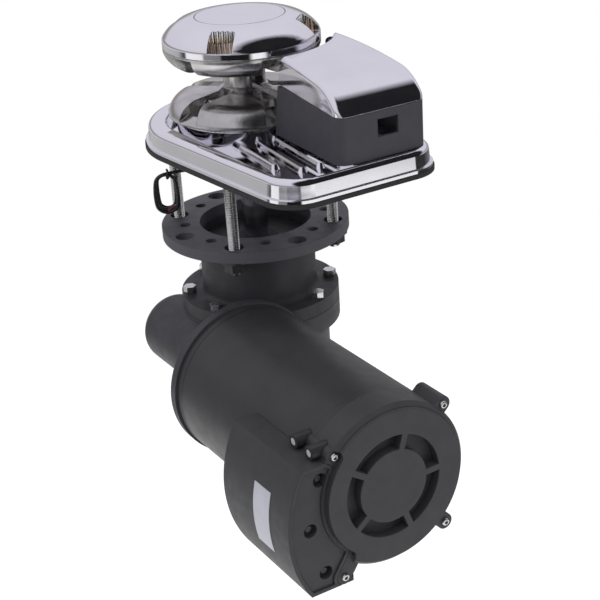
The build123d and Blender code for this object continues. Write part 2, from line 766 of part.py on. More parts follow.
with BuildPart() as lower_flange:
    with BuildSketch(Plane.XZ):
        with BuildLine():
            Polyline(
                (GYPSY_BORE_R, gypsy_mid),
                (GYPSY_BORE_R, GYPSY_BOTTOM),
                (GYPSY_R, GYPSY_BOTTOM),
                (GYPSY_R, GYPSY_BOTTOM + RIM_EDGE_T),
            )
            ThreePointArc(
                (GYPSY_R, GYPSY_BOTTOM + RIM_EDGE_T), LOBE_SHOULDER, (LOBE_ROUND_R, LOBE_FACE)
            )
            Polyline(
                (LOBE_ROUND_R, LOBE_FACE),
                (NECK_R + 6, LOBE_FACE + 2),
                (NECK_R, LOBE_FACE + 5.5),
                (NECK_R, gypsy_mid),
                (GYPSY_BORE_R, gypsy_mid),
            )
        make_face()
    revolve(axis=Axis.Z)
    with PolarLocations(0, GYPSY_LOBES, start_angle=slot_angle):
        add(chain_slot.part, mode=Mode.SUBTRACT)
    with BuildSketch(Plane.XZ):
        with BuildLine():
            Polyline(
                (0, GYPSY_BOTTOM),
                (CONE_MOUTH_R, GYPSY_BOTTOM),
                (CONE_FLOOR_R, GYPSY_BOTTOM + CONE_DEPTH),
                (0, GYPSY_BOTTOM + CONE_DEPTH),
                close=True,
            )
        make_face()
    revolve(axis=Axis.Z, mode=Mode.SUBTRACT)

with BuildPart() as gypsy:
    add(lower_flange.part)
    mirror(about=Plane.XY.offset(gypsy_mid))
    with BuildSketch(Plane.XY.offset(GYPSY_BOTTOM)):
        with PolarLocations(SENSOR_RING_R, 1, start_angle=SENSOR_ANGLE):
            Circle(MAGNET_R)
    extrude(amount=MAGNET_LENGTH, mode=Mode.SUBTRACT)

with BuildPart() as gypsy_bush:
    add(ring(GYPSY_BORE_R, SHAFT_TOP_R + RUNNING_GAP, gypsy_mid - GYPSY_BUSH_HALF, gypsy_mid + GYPSY_BUSH_HALF))

with BuildPart() as gypsy_magnet:
    with BuildSketch(Plane.XY.offset(GYPSY_BOTTOM)):
        with PolarLocations(SENSOR_RING_R, 1, start_angle=SENSOR_ANGLE):
            Circle(MAGNET_R)
    extrude(amount=MAGNET_LENGTH)

# Cap, a domed nut over the clutch with four lever pockets
with BuildPart() as cap:
    with BuildSketch(Plane.XZ):
        with BuildLine():
            Polyline(
                (CAP_CAVITY_R, CAP_BOTTOM),
                (CAP_R, CAP_BOTTOM),
                (CAP_R, CAP_SHOULDER_Z),
            )
            ThreePointArc((CAP_R, CAP_SHOULDER_Z), CAP_DOME_MID, (CAP_DISC_R, CAP_TOP))
            Polyline(
                (CAP_DISC_R, CAP_TOP),
                (CAP_DISC_R, CAP_TOP - CAP_DISC_T),
                (0, CAP_TOP - CAP_DISC_T),
                (0, CAP_BORE_TOP),
                (THREAD_R + RUNNING_GAP, CAP_BORE_TOP),
                (THREAD_R + RUNNING_GAP, CAP_HUB_BOTTOM),
                (CAP_HUB_R, CAP_HUB_BOTTOM),
                (CAP_HUB_R, CAP_CAVITY_TOP),
                (CAP_CAVITY_R, CAP_CAVITY_TOP),
                (CAP_CAVITY_R, CAP_BOTTOM),
            )
        make_face()
        fillet(vertices().group_by(Axis.X)[-1].sort_by(Axis.Y)[-1], CAP_SHOULDER_FILLET)
    revolve(axis=Axis.Z)
    with BuildSketch(Plane.XY.offset(LEVER_POCKET_FLOOR)):
        with PolarLocations(LEVER_POCKET_BACK_R, LEVER_POCKETS, start_angle=45):
            with Locations((LEVER_POCKET_LENGTH / 2, 0)):
                RectangleRounded(LEVER_POCKET_LENGTH, LEVER_POCKET_WIDTH, 3)
            with Locations(*[(0, k * LEVER_FLUTE_PITCH) for k in range(-2, 3)]):
                Circle(LEVER_FLUTE_R)
    extrude(amount=CAP_TOP - LEVER_POCKET_FLOOR, mode=Mode.SUBTRACT)

with BuildPart() as cap_disc:
    add(ring(CAP_DISC_R, 0, CAP_TOP - CAP_DISC_T, CAP_TOP))
    chamfer(cap_disc.faces().sort_by(Axis.Z)[-1].edges(), CAP_DISC_CROWN)

# Chain stripper, a finger in the gypsy's groove on a leg and foot inside the hood
with BuildPart() as chain_stripper:
    with BuildSketch(Plane.XY.offset(STRIPPER_Z - STRIPPER_T / 2)):
        with BuildLine():
            Polyline(
                (STRIPPER_TIP_X, STRIPPER_TIP_Y - STRIPPER_T / 2),
                (STRIPPER_LEG_X, STRIPPER_ROOT_Y - STRIPPER_T / 2),
                (STRIPPER_LEG_X, STRIPPER_ROOT_Y + STRIPPER_T / 2),
                (STRIPPER_TIP_X, STRIPPER_TIP_Y + STRIPPER_T / 2),
                close=True,
            )
        make_face()
    extrude(amount=STRIPPER_T)
    with BuildSketch(Plane.XY.offset(foot_z)):
        with Locations((STRIPPER_LEG_X, STRIPPER_ROOT_Y)):
            Rectangle(STRIPPER_T, STRIPPER_T, align=(Align.MAX, Align.CENTER))
    extrude(amount=STRIPPER_Z - foot_z)
    with BuildSketch(Plane.XY.offset(foot_z)):
        with Locations((STRIPPER_LEG_X, STRIPPER_ROOT_Y - STRIPPER_T / 2)):
            Rectangle(STRIPPER_FOOT_LENGTH, STRIPPER_FOOT_WIDTH, align=(Align.MAX, Align.MIN))
        with Locations(stripper_screw):
            Circle(SMALL_SCREW_R, mode=Mode.SUBTRACT)
    extrude(amount=STRIPPER_T)

# Hood, an open black housing that leans out to its foot round the chain pipe
near_pin = hinge_frame(HINGE_NEAR, 1)
far_pin = hinge_frame(HINGE_FAR, -1)
pin_height = HINGE_NEAR[2]

with BuildPart() as hood_housing:
    add(hood_block(0))
    add(hood_block(HOOD_WALL), mode=Mode.SUBTRACT)
    add(seam_wedge(0), mode=Mode.SUBTRACT)
    with BuildSketch(Plane.XY.offset(RIM_TOP - 1)):
        Circle(HOOD_MOUTH_R)
    extrude(amount=HOOD_SEAM_Z, mode=Mode.SUBTRACT)
    with BuildSketch(Plane.XY.offset(HOOD_SEAM_Z - HOOD_RELIEF)):
        Circle(LID_FRONT_R + 1)
    extrude(amount=HOOD_SEAM_Z, mode=Mode.SUBTRACT)
    with BuildSketch(Plane.YZ.offset(HOOD_END_X - 2 * HOOD_WALL)):
        with Locations((NOTCH_Y, NOTCH_BOTTOM + NOTCH_HEIGHT / 2)):
            Rectangle(NOTCH_WIDTH, NOTCH_HEIGHT)
    extrude(amount=3 * HOOD_WALL, mode=Mode.SUBTRACT)
    for frame, start in ((near_pin, NEAR_EAR_START), (far_pin, FAR_EAR_START)):
        with BuildSketch(frame.offset(start)):
            Circle(HINGE_EAR_R)
            with Locations(((RIM_TOP - pin_height) / 2, 0)):
                Rectangle(pin_height - RIM_TOP, 2 * HINGE_EAR_R)
            Circle(HINGE_PIN_R, mode=Mode.SUBTRACT)
        extrude(amount=HINGE_EAR_T)
    with BuildSketch(far_pin.offset(FAR_EAR_START)):
        with Locations(((RIM_TOP + HINGE_WEB_TOP) / 2 - pin_height, 0)):
            Rectangle(HINGE_WEB_TOP - RIM_TOP, 2 * HINGE_EAR_R)
    extrude(amount=HOOD_WALL - FAR_EAR_START)
    with BuildSketch(Plane.XY.offset(RIM_TOP)):
        for screw_x, screw_y, side in HOOD_SCREWS:
            with Locations((screw_x, screw_y + side * HOOD_BOSS_REACH / 2)):
                SlotOverall(2 * HOOD_BOSS_R + HOOD_BOSS_REACH, 2 * HOOD_BOSS_R, rotation=90)
    extrude(amount=HOOD_BOSS_T)
    with BuildSketch(Plane.XY.offset(RIM_TOP)):
        with Locations((HOOD_FLOOR_END_X, HOOD_FLOOR_END_Y)):
            Rectangle(HOOD_FLOOR_END_X, HOOD_FLOOR_END_Y - HOOD_FOOT_NEAR_Y - 1, align=(Align.MAX, Align.MAX))
        Circle(HOOD_MOUTH_R, mode=Mode.SUBTRACT)
    extrude(amount=HOOD_FLOOR_T)
    with BuildSketch(Plane.XY.offset(RIM_TOP)):
        with Locations(stripper_screw, *[(x, y) for x, y, side in HOOD_SCREWS]):
            Circle(SMALL_SCREW_R)
    extrude(amount=HOOD_BOSS_T, mode=Mode.SUBTRACT)

with BuildPart() as hood_screws:
    for spot, seat_z in [(stripper_screw, foot_z + STRIPPER_T)] + [
        ((x, y), RIM_TOP + HOOD_BOSS_T) for x, y, side in HOOD_SCREWS
    ]:
        with BuildSketch(Plane.XY.offset(seat_z)):
            with Locations(spot):
                Circle(SMALL_SCREW_HEAD_R)
        extrude(amount=SMALL_SCREW_HEAD_T)
        with BuildSketch(Plane.XY.offset(RIM_TOP - SMALL_SCREW_DEPTH)):
            with Locations(spot):
                Circle(SMALL_SCREW_R)
        extrude(amount=seat_z - RIM_TOP + SMALL_SCREW_DEPTH)

# Lid, a chromed shell with a conical lip round the cap, on two pins at its front corners
with BuildPart() as lid_lip:
    add(front_cone(LID_WALL))
    with BuildSketch(Plane.XY.offset(LID_LIP_BOTTOM)):
        Rectangle(3 * CAP_R, 3 * CAP_R)
    extrude(amount=CAP_TOP, mode=Mode.INTERSECT)

with BuildPart() as lid_hollow:
    add(lid_block(LID_WALL))
    add(lid_lip.part, mode=Mode.SUBTRACT)

with BuildPart() as hood_lid:
    add(lid_block(0))
    add(seam_wedge(FACE_GAP), mode=Mode.INTERSECT)
    add(lid_hollow.part, mode=Mode.SUBTRACT)
    add(front_cone(0), mode=Mode.SUBTRACT)
    for frame, start in ((near_pin, NEAR_EAR_START), (far_pin, FAR_EAR_START)):
        with BuildSketch(frame.offset(HINGE_SKIN)):
            Circle(HINGE_PIN_R + RUNNING_GAP)
        extrude(amount=start, mode=Mode.SUBTRACT)
        with BuildSketch(frame.offset(start - 2 * FACE_GAP)):
            Circle(HINGE_EAR_R + 2 * FACE_GAP)
            with Locations((HOOD_SEAM_Z / 2 - pin_height / 2, 0)):
                Rectangle(pin_height - HOOD_SEAM_Z + 10, 2 * (HINGE_EAR_R + 2 * FACE_GAP))
        extrude(amount=HINGE_EAR_T + 4 * FACE_GAP, mode=Mode.SUBTRACT)

with BuildPart() as lid_pins:
    for frame, start in ((near_pin, NEAR_EAR_START), (far_pin, FAR_EAR_START)):
        with BuildSketch(frame.offset(HINGE_SKIN + FACE_GAP)):
            Circle(HINGE_PIN_R)
        extrude(amount=start + HINGE_EAR_T - HINGE_SKIN - FACE_GAP)

# Gearbox: the upper casting with its deck flange
with BuildPart() as gearbox_cover:
    with BuildSketch(Plane.XZ):
        with BuildLine():
            Polyline(
                (OIL_SEAL_R, OIL_SEAL_TOP),
                (FLANGE_BORE_R, OIL_SEAL_TOP),
                (FLANGE_BORE_R, FLANGE_TOP),
                (FLANGE_R, FLANGE_TOP),
                (FLANGE_R, FLANGE_BOTTOM),
                (GEAR_NECK_R, FLANGE_BOTTOM),
                (GEAR_NECK_R, COVER_FLANGE_TOP),
                (COVER_FLANGE_R, COVER_FLANGE_TOP),
                (COVER_FLANGE_R, CASTING_BOTTOM),
                (COVER_CHAMBER_R, CASTING_BOTTOM),
                (COVER_CHAMBER_R, COVER_CHAMBER_TOP),
                (UPPER_BEARING_R, COVER_CHAMBER_TOP),
                (UPPER_BEARING_R, UPPER_BEARING_TOP),
                (OIL_SEAL_R, UPPER_BEARING_TOP),
                close=True,
            )
        make_face()
        neck_ends = vertices().filter_by(lambda v: abs(v.X - GEAR_NECK_R) < RUNNING_GAP)
        fillet(neck_ends, GEAR_NECK_FILLET)
    revolve(axis=Axis.Z)
    with BuildSketch(Plane.XY.offset(FLANGE_BOTTOM)):
        with PolarLocations(STUD_PCD / 2, STUD_HOLES):
            Circle(STUD_HOLE_R)
        with PolarLocations(DECK_HOLE_PCD / 2, STUD_HOLES, start_angle=180 / STUD_HOLES):
            Circle(DECK_HOLE_R)
    extrude(amount=FLANGE_T, mode=Mode.SUBTRACT)
    with BuildSketch(Plane.XY.offset(CASTING_BOTTOM)):
        with PolarLocations(COVER_BOLT_PCD / 2, COVER_BOLTS, start_angle=180 / COVER_BOLTS):
            Circle(COVER_BOLT_R)
    extrude(amount=COVER_FLANGE_TOP - CASTING_BOTTOM, mode=Mode.SUBTRACT)

with BuildPart() as gearbox_gasket:
    with BuildSketch(Plane.XY.offset(BODY_TOP)):
        Circle(COVER_FLANGE_R)
        Circle(CHAMBER_R, mode=Mode.SUBTRACT)
        with PolarLocations(COVER_BOLT_PCD / 2, COVER_BOLTS, start_angle=180 / COVER_BOLTS):
            Circle(COVER_BOLT_R, mode=Mode.SUBTRACT)
    extrude(amount=SEAM_T)

# Gearbox body: wheel chamber, worm tunnel and the flared seat of the motor
with BuildPart() as gearbox_body:
    with BuildSketch(Plane.XY.offset(BODY_BOTTOM)):
        Circle(BODY_R)
    extrude(amount=BODY_TOP - BODY_BOTTOM)
    fillet(gearbox_body.faces().sort_by(Axis.Z)[0].edges(), BODY_FILLET)
    with BuildSketch(Plane.XY.offset(BODY_FLANGE_BOTTOM)):
        Circle(COVER_FLANGE_R)
    extrude(amount=BODY_FLANGE_T)
    with BuildSketch(worm_side):
        with BuildLine():
            Polyline(
                (TUNNEL_END_X, 0),
                (TUNNEL_END_X, TUNNEL_R),
                (MOTOR_FLARE_X, TUNNEL_R),
                (MOTOR_RING_X, MOTOR_RING_R),
                (MOTOR_FACE_X, MOTOR_RING_R),
                (MOTOR_FACE_X, 0),
                close=True,
            )
        make_face()
        fillet(vertices().group_by(Axis.X)[0].sort_by(Axis.Y)[-1], TUNNEL_END_FILLET)
    revolve(axis=worm_axis)
    with BuildSketch(Plane.XY.offset(BODY_TOP)):
        Circle(COVER_FLANGE_R + SEAM_T)
    extrude(amount=-BODY_TOP, mode=Mode.SUBTRACT)
    with BuildSketch(Plane.XY.offset(CHAMBER_FLOOR)):
        Circle(CHAMBER_R)
    extrude(amount=BODY_TOP - CHAMBER_FLOOR, mode=Mode.SUBTRACT)
    with BuildSketch(Plane.XY.offset(SHAFT_BOTTOM)):
        Circle(FOOT_BEARING_R)
    extrude(amount=FOOT_BEARING_T, mode=Mode.SUBTRACT)
    with BuildSketch(worm_line.offset(-WORM_BEARING_X - WORM_BEARING_T)):
        Circle(WORM_BEARING_R)
    extrude(amount=MOTOR_FACE_X + WORM_BEARING_X + WORM_BEARING_T, mode=Mode.SUBTRACT)
    with BuildSketch(worm_line.offset(MOTOR_FACE_X - PILOT_DEPTH)):
        Circle(PILOT_R)
    extrude(amount=PILOT_DEPTH, mode=Mode.SUBTRACT)
    with BuildSketch(Plane.XY.offset(BODY_TOP)):
        with PolarLocations(COVER_BOLT_PCD / 2, COVER_BOLTS, start_angle=180 / COVER_BOLTS):
            Circle(COVER_BOLT_R)
    extrude(amount=COVER_FLANGE_TOP - COVER_BOLT_LENGTH - BODY_TOP, mode=Mode.SUBTRACT)

with BuildPart() as cover_bolts:
    with BuildSketch(Plane.XY.offset(COVER_FLANGE_TOP)):
        with PolarLocations(COVER_BOLT_PCD / 2, COVER_BOLTS, start_angle=180 / COVER_BOLTS):
            RegularPolygon(COVER_BOLT_HEAD_R, 6, major_radius=False)
    extrude(amount=COVER_BOLT_HEAD_T)
    with BuildSketch(Plane.XY.offset(COVER_FLANGE_TOP)):
        with PolarLocations(COVER_BOLT_PCD / 2, COVER_BOLTS, start_angle=180 / COVER_BOLTS):
            Circle(COVER_BOLT_R)
    extrude(amount=-COVER_BOLT_LENGTH)

# Shaft bearings and oil seal
upper_race_r = ball_race(WHEEL_SEAT_R, UPPER_BEARING_R)
foot_race_r = ball_race(FOOT_R, FOOT_BEARING_R)
worm_race_r = ball_race(WORM_BEARING_BORE_R, WORM_BEARING_R)
tail_race_r = ball_race(MOTOR_TAIL_R, MOTOR_BEARING_R)

with BuildPart() as oil_seal:
    add(ring(OIL_SEAL_R, SHAFT_R + RUNNING_GAP, UPPER_BEARING_TOP, OIL_SEAL_TOP))

with BuildPart() as shaft_bearings_inner:
    add(ring(upper_race_r, WHEEL_SEAT_R, UPPER_BEARING_BOTTOM, UPPER_BEARING_TOP))
    add(ring(foot_race_r, FOOT_R, SHAFT_BOTTOM, CHAMBER_FLOOR))

with BuildPart() as shaft_bearings_outer:
    add(ring(UPPER_BEARING_R, upper_race_r + FACE_GAP, UPPER_BEARING_BOTTOM, UPPER_BEARING_TOP))
    add(ring(FOOT_BEARING_R, foot_race_r + FACE_GAP, SHAFT_BOTTOM, CHAMBER_FLOOR))

# Worm wheel: the gaps between its slanting teeth follow the worm's lead
lead = 2 * pi * MODULE / 2
wheel_pitch_r = MODULE * WHEEL_TEETH / 2
wheel_tip_r = wheel_pitch_r + MODULE
wheel_root_r = wheel_pitch_r - 1.25 * MODULE
tooth_slope = tan(radians(20))
pitch_gap = pi * MODULE / 4 + TOOTH_PLAY
slant = degrees(WHEEL_WIDTH / 2 * MODULE / 2 / WORM_PITCH_R / wheel_pitch_r)

with BuildPart() as tooth_gap:
    for side in (-1, 1):
        with BuildSketch(Plane.XY.offset(WORM_Z + side * WHEEL_WIDTH / 2).rotated((0, 0, side * slant))):
            with BuildLine():
                Polyline(
                    (-pitch_gap + 1.25 * MODULE * tooth_slope, -wheel_root_r),
                    (pitch_gap - 1.25 * MODULE * tooth_slope, -wheel_root_r),
                    (pitch_gap + 2 * MODULE * tooth_slope, -wheel_pitch_r - 2 * MODULE),
                    (-pitch_gap - 2 * MODULE * tooth_slope, -wheel_pitch_r - 2 * MODULE),
                    close=True,
                )
            make_face()
    loft()

with BuildPart() as worm_wheel:
    with BuildSketch(Plane.XY.offset(WORM_Z - WHEEL_WIDTH / 2)):
        Circle(wheel_tip_r)
    extrude(amount=WHEEL_WIDTH)
    with PolarLocations(0, WHEEL_TEETH):
        add(tooth_gap.part, mode=Mode.SUBTRACT)
    for side in (-1, 1):
        with BuildSketch(Plane.XY.offset(WORM_Z + side * WHEEL_WEB_T / 2)):
            Circle(wheel_root_r - WHEEL_RIM_T)
            Circle(WHEEL_HUB_R, mode=Mode.SUBTRACT)
        extrude(amount=side * WHEEL_WIDTH, mode=Mode.SUBTRACT)
    with BuildSketch(Plane.XY.offset(CHAMBER_FLOOR)):
        Circle(WHEEL_HUB_R)
    extrude(amount=WHEEL_HUB_TOP - CHAMBER_FLOOR)
    with BuildSketch(Plane.XY.offset(CHAMBER_FLOOR)):
        Circle(WHEEL_SEAT_R)
        with Locations((WHEEL_KEY_TOP_R / 2, 0)):
            Rectangle(WHEEL_KEY_TOP_R, WHEEL_KEY_WIDTH)
    extrude(amount=WHEEL_HUB_TOP - CHAMBER_FLOOR, mode=Mode.SUBTRACT)

# Worm with its two bearings and a square socket for the motor shaft
thread_turns = int(WORM_THREAD_LENGTH / lead)
pitch_thread = pi * MODULE / 4 - TOOTH_PLAY

with BuildPart() as worm_thread:
    with BuildLine(Plane.XY) as thread_path:
        Helix(pitch=lead, height=thread_turns * lead, radius=WORM_PITCH_R)
    with BuildSketch(Plane.XZ):
        with BuildLine():
            Polyline(
                (WORM_PITCH_R - 1.25 * MODULE, -pitch_thread - 1.25 * MODULE * tooth_slope),
                (WORM_PITCH_R + WORM_TIP, -pitch_thread + WORM_TIP * tooth_slope),
                (WORM_PITCH_R + WORM_TIP, pitch_thread - WORM_TIP * tooth_slope),
                (WORM_PITCH_R - 1.25 * MODULE, pitch_thread + 1.25 * MODULE * tooth_slope),
                close=True,
            )
        make_face()
    sweep(path=thread_path.wires()[0], is_frenet=True)

with BuildPart() as worm:
    with Locations(worm_line.offset(-thread_turns * lead / 2)):
        add(worm_thread.part)
    add(ring(WORM_PITCH_R - 1.2 * MODULE, 0, -WORM_BEARING_X, WORM_BEARING_X, worm_line))
    add(ring(WORM_BEARING_BORE_R, 0, -WORM_BEARING_X - WORM_BEARING_T, -WORM_BEARING_X, worm_line))
    add(ring(WORM_BEARING_BORE_R, 0, WORM_BEARING_X, TANG_X + TANG + 4, worm_line))
    with BuildSketch(worm_line.offset(TANG_X)):
        Rectangle(TANG, TANG)
    extrude(amount=TANG_X, mode=Mode.SUBTRACT)

with BuildPart() as worm_bearings_inner:
    for start in (-WORM_BEARING_X - WORM_BEARING_T, WORM_BEARING_X):
        add(ring(worm_race_r, WORM_BEARING_BORE_R, start, start + WORM_BEARING_T, worm_line))

with BuildPart() as worm_bearings_outer:
    for start in (-WORM_BEARING_X - WORM_BEARING_T, WORM_BEARING_X):
        add(ring(WORM_BEARING_R, worm_race_r + FACE_GAP, start, start + WORM_BEARING_T, worm_line))

# Motor: drive bell, yoke with its magnets, and rear bell with the tail bearing
bell_x = MOTOR_FACE_X + BELL_T
rear_x = YOKE_END_X + REAR_BELL_T
yoke_r = MOTOR_R - YOKE_WALL

with BuildPart() as drive_bell:
    add(ring(PILOT_R, BELL_BORE_R, MOTOR_FACE_X - PILOT_DEPTH, MOTOR_FACE_X, worm_line))
    add(ring(MOTOR_R, BELL_BORE_R, MOTOR_FACE_X, bell_x, worm_line))
    add(ring(yoke_r, yoke_r - SPIGOT, bell_x, bell_x + SPIGOT, worm_line))

with BuildPart() as motor_can:
    add(ring(MOTOR_R, yoke_r, bell_x, YOKE_END_X, worm_line))

with BuildPart() as motor_magnets:
    add(ring(yoke_r, yoke_r - MAGNET_T, ARMATURE_X - 4, ARMATURE_X + ARMATURE_LENGTH + 4, worm_line))
    with BuildSketch(worm_line.offset(bell_x)):
        with PolarLocations(MOTOR_R / 2, POLES):
            Rectangle(MOTOR_R, MAGNET_SPACE)
    extrude(amount=YOKE_END_X - bell_x, mode=Mode.SUBTRACT)

with BuildPart() as armature:
    with BuildSketch(worm_line.offset(ARMATURE_X)):
        Circle(ARMATURE_R)
        Circle(MOTOR_SHAFT_R, mode=Mode.SUBTRACT)
        with PolarLocations(ARMATURE_R - SLOT_DEPTH / 2 - 1, ARMATURE_SLOTS):
            SlotOverall(SLOT_DEPTH, SLOT_WIDTH, mode=Mode.SUBTRACT)
        with PolarLocations(ARMATURE_R, ARMATURE_SLOTS):
            Rectangle(SLOT_WIDTH, SLOT_MOUTH, mode=Mode.SUBTRACT)
    extrude(amount=ARMATURE_LENGTH)

with BuildPart() as windings:
    for start in (ARMATURE_X - END_TURN, ARMATURE_X + ARMATURE_LENGTH):
        with BuildSketch(worm_line.offset(start)):
            Circle(ARMATURE_R - 4)
            Circle(MOTOR_SHAFT_R + 6, mode=Mode.SUBTRACT)
        extrude(amount=END_TURN)
    fillet(windings.edges().filter_by(GeomType.CIRCLE).group_by(Axis.X)[0], END_TURN / 3)
    fillet(windings.edges().filter_by(GeomType.CIRCLE).group_by(Axis.X)[-1], END_TURN / 3)

with BuildPart() as commutator:
    add(ring(COMMUTATOR_R, MOTOR_SHAFT_R, COMMUTATOR_X, COMMUTATOR_X + COMMUTATOR_LENGTH, worm_line))

with BuildPart() as motor_shaft:
    tail_x = YOKE_END_X - MOTOR_BEARING_T + REAR_BELL_T - 1
    add(ring(MOTOR_SHAFT_R, 0, TANG_X + TANG + 5, tail_x, worm_line))
    add(ring(MOTOR_TAIL_R, 0, tail_x, tail_x + MOTOR_BEARING_T, worm_line))
    with BuildSketch(worm_line.offset(TANG_X + FACE_GAP)):
        Rectangle(TANG, TANG)
    extrude(amount=TANG + 5)

with BuildPart() as motor_bearing_inner:
    add(ring(tail_race_r, MOTOR_TAIL_R, tail_x, tail_x + MOTOR_BEARING_T, worm_line))

with BuildPart() as motor_bearing_outer:
    add(ring(MOTOR_BEARING_R, tail_race_r + FACE_GAP, tail_x, tail_x + MOTOR_BEARING_T, worm_line))

with BuildPart() as rear_bell:
    add(ring(MOTOR_R, MOTOR_BEARING_R, YOKE_END_X, rear_x, worm_line))
    add(ring(yoke_r, yoke_r - SPIGOT, YOKE_END_X - SPIGOT, YOKE_END_X, worm_line))
    add(ring(MOTOR_BEARING_R + 4, MOTOR_BEARING_R, tail_x, YOKE_END_X, worm_line))
    add(motor_ears(0, YOKE_END_X, rear_x))
    add(ear_spots(EAR_SCREW_R, YOKE_END_X, rear_x), mode=Mode.SUBTRACT)

with BuildPart() as brush_holder:
    add(ring(yoke_r - FACE_GAP, COMMUTATOR_R + 4, BRUSH_PLATE_X, BRUSH_PLATE_X + 3, worm_line))
    for turn in range(4):
        with BuildSketch(worm_line.offset(BRUSH_PLATE_X)):
            with PolarLocations(COMMUTATOR_R + 2 + BRUSH_LENGTH / 2, 1, start_angle=45 + 90 * turn):
                Rectangle(BRUSH_LENGTH, BRUSH_WIDTH + 4)
        extrude(amount=-BRUSH_AXIAL - 2)
        with BuildSketch(worm_line.offset(BRUSH_PLATE_X)):
            with PolarLocations(COMMUTATOR_R + 2 + BRUSH_LENGTH / 2, 1, start_angle=45 + 90 * turn):
                Rectangle(BRUSH_LENGTH, BRUSH_WIDTH)
        extrude(amount=-BRUSH_AXIAL, mode=Mode.SUBTRACT)

with BuildPart() as brushes:
    with BuildSketch(worm_line.offset(BRUSH_PLATE_X)):
        with PolarLocations(COMMUTATOR_R + FACE_GAP + BRUSH_LENGTH / 2, 4, start_angle=45):
            Rectangle(BRUSH_LENGTH, BRUSH_WIDTH)
        Circle(COMMUTATOR_R + FACE_GAP, mode=Mode.SUBTRACT)
    extrude(amount=-BRUSH_AXIAL)

# Motor end cover: a stepped face with a ribbed ring groove and four screwed ears
ear_face_x = rear_x + EAR_LENGTH

with BuildSketch() as box_side_sketch:
    with Locations((BOX_JOIN_Y - WORM_Y, BOX_BOTTOM_Z - WORM_Z)):
        Rectangle(BOX_ARC_R, BOX_TOP_Z - BOX_BOTTOM_Z, align=(Align.MAX, Align.MIN))
box_side = box_side_sketch.sketch

with BuildPart() as motor_cover:
    with BuildSketch(worm_side):
        with BuildLine():
            groove_x = COVER_END_X - COVER_GROOVE_DEPTH
            Polyline(
                (rear_x, MOTOR_R),
                (COVER_SHOULDER_X, MOTOR_R - 0.5),
                (COVER_END_X - 2, COVER_LIP_R + 1),
                (COVER_END_X - 2, COVER_LIP_R),
                (COVER_END_X, COVER_LIP_R - 0.5),
                (COVER_END_X, COVER_GROOVE_OUTER_R),
                (groove_x, COVER_GROOVE_OUTER_R),
                (groove_x, COVER_GROOVE_INNER_R),
                (COVER_END_X, COVER_GROOVE_INNER_R),
                (COVER_END_X, 0),
                (COVER_END_X - COVER_WALL, 0),
                (COVER_END_X - COVER_WALL, COVER_GROOVE_INNER_R - COVER_WALL),
                (groove_x - COVER_WALL, COVER_GROOVE_INNER_R - COVER_WALL),
                (groove_x - COVER_WALL, COVER_GROOVE_OUTER_R + COVER_WALL),
                (COVER_END_X - COVER_WALL, COVER_GROOVE_OUTER_R + COVER_WALL),
                (COVER_END_X - COVER_WALL, COVER_LIP_R - COVER_WALL),
                (COVER_SHOULDER_X - COVER_WALL, MOTOR_R - COVER_WALL),
                (rear_x, MOTOR_R - COVER_WALL),
                close=True,
            )
        make_face()
    revolve(axis=worm_axis)
    with BuildSketch(worm_line.offset(groove_x)):
        with PolarLocations((COVER_GROOVE_INNER_R + COVER_GROOVE_OUTER_R) / 2, COVER_RIBS, start_angle=COVER_RIB_ANGLE):
            Rectangle(COVER_GROOVE_OUTER_R - COVER_GROOVE_INNER_R + 1, COVER_RIB_T)
    extrude(amount=COVER_GROOVE_DEPTH)
    add(ring(COVER_INNER_R, COVER_INNER_R - COVER_WALL, rear_x, COVER_END_X - COVER_WALL, worm_line))
    with BuildSketch(worm_line.offset(rear_x)):
        add(box_side)
        Circle(COVER_INNER_R, mode=Mode.SUBTRACT)
    extrude(amount=COVER_END_X - rear_x, mode=Mode.SUBTRACT)
    add(motor_ears(0, rear_x, ear_face_x))
    add(ear_spots(EAR_SCREW_R, rear_x, ear_face_x), mode=Mode.SUBTRACT)
    add(ear_spots(EAR_HEAD_R + FACE_GAP, ear_face_x, COVER_END_X), mode=Mode.SUBTRACT)

with BuildPart() as cover_screws:
    add(ear_spots(EAR_SCREW_R, YOKE_END_X, ear_face_x))
    add(ear_spots(EAR_HEAD_R, ear_face_x, ear_face_x + EAR_HEAD_T))

# Control box: a crescent shell against the yoke, closed by a screwed front plate
plate_x = BOX_END_X - BOX_RIM

with BuildPart() as box_ear_walls:
    add(motor_ears(BOX_WALL, rear_x, BOX_END_X))
    with BuildSketch(Plane.YZ.offset(rear_x)):
        add(box_section(0, COVER_INNER_R))
    extrude(amount=BOX_END_X - rear_x, mode=Mode.INTERSECT)

with BuildPart() as control_box:
    with BuildSketch(Plane.YZ.offset(BOX_START_X)):
        add(box_section(0, MOTOR_R))
    extrude(amount=rear_x - BOX_START_X)
    with BuildSketch(Plane.YZ.offset(BOX_START_X + BOX_WALL)):
        add(box_section(BOX_WALL, MOTOR_R))
    extrude(amount=rear_x - BOX_START_X, mode=Mode.SUBTRACT)
    with BuildSketch(Plane.YZ.offset(rear_x)):
        add(box_section(0, COVER_INNER_R))
        add(box_section(BOX_WALL, COVER_INNER_R), mode=Mode.SUBTRACT)
    extrude(amount=BOX_END_X - rear_x)
    add(box_ear_walls.part)
    add(motor_ears(FACE_GAP, YOKE_END_X, COVER_END_X), mode=Mode.SUBTRACT)

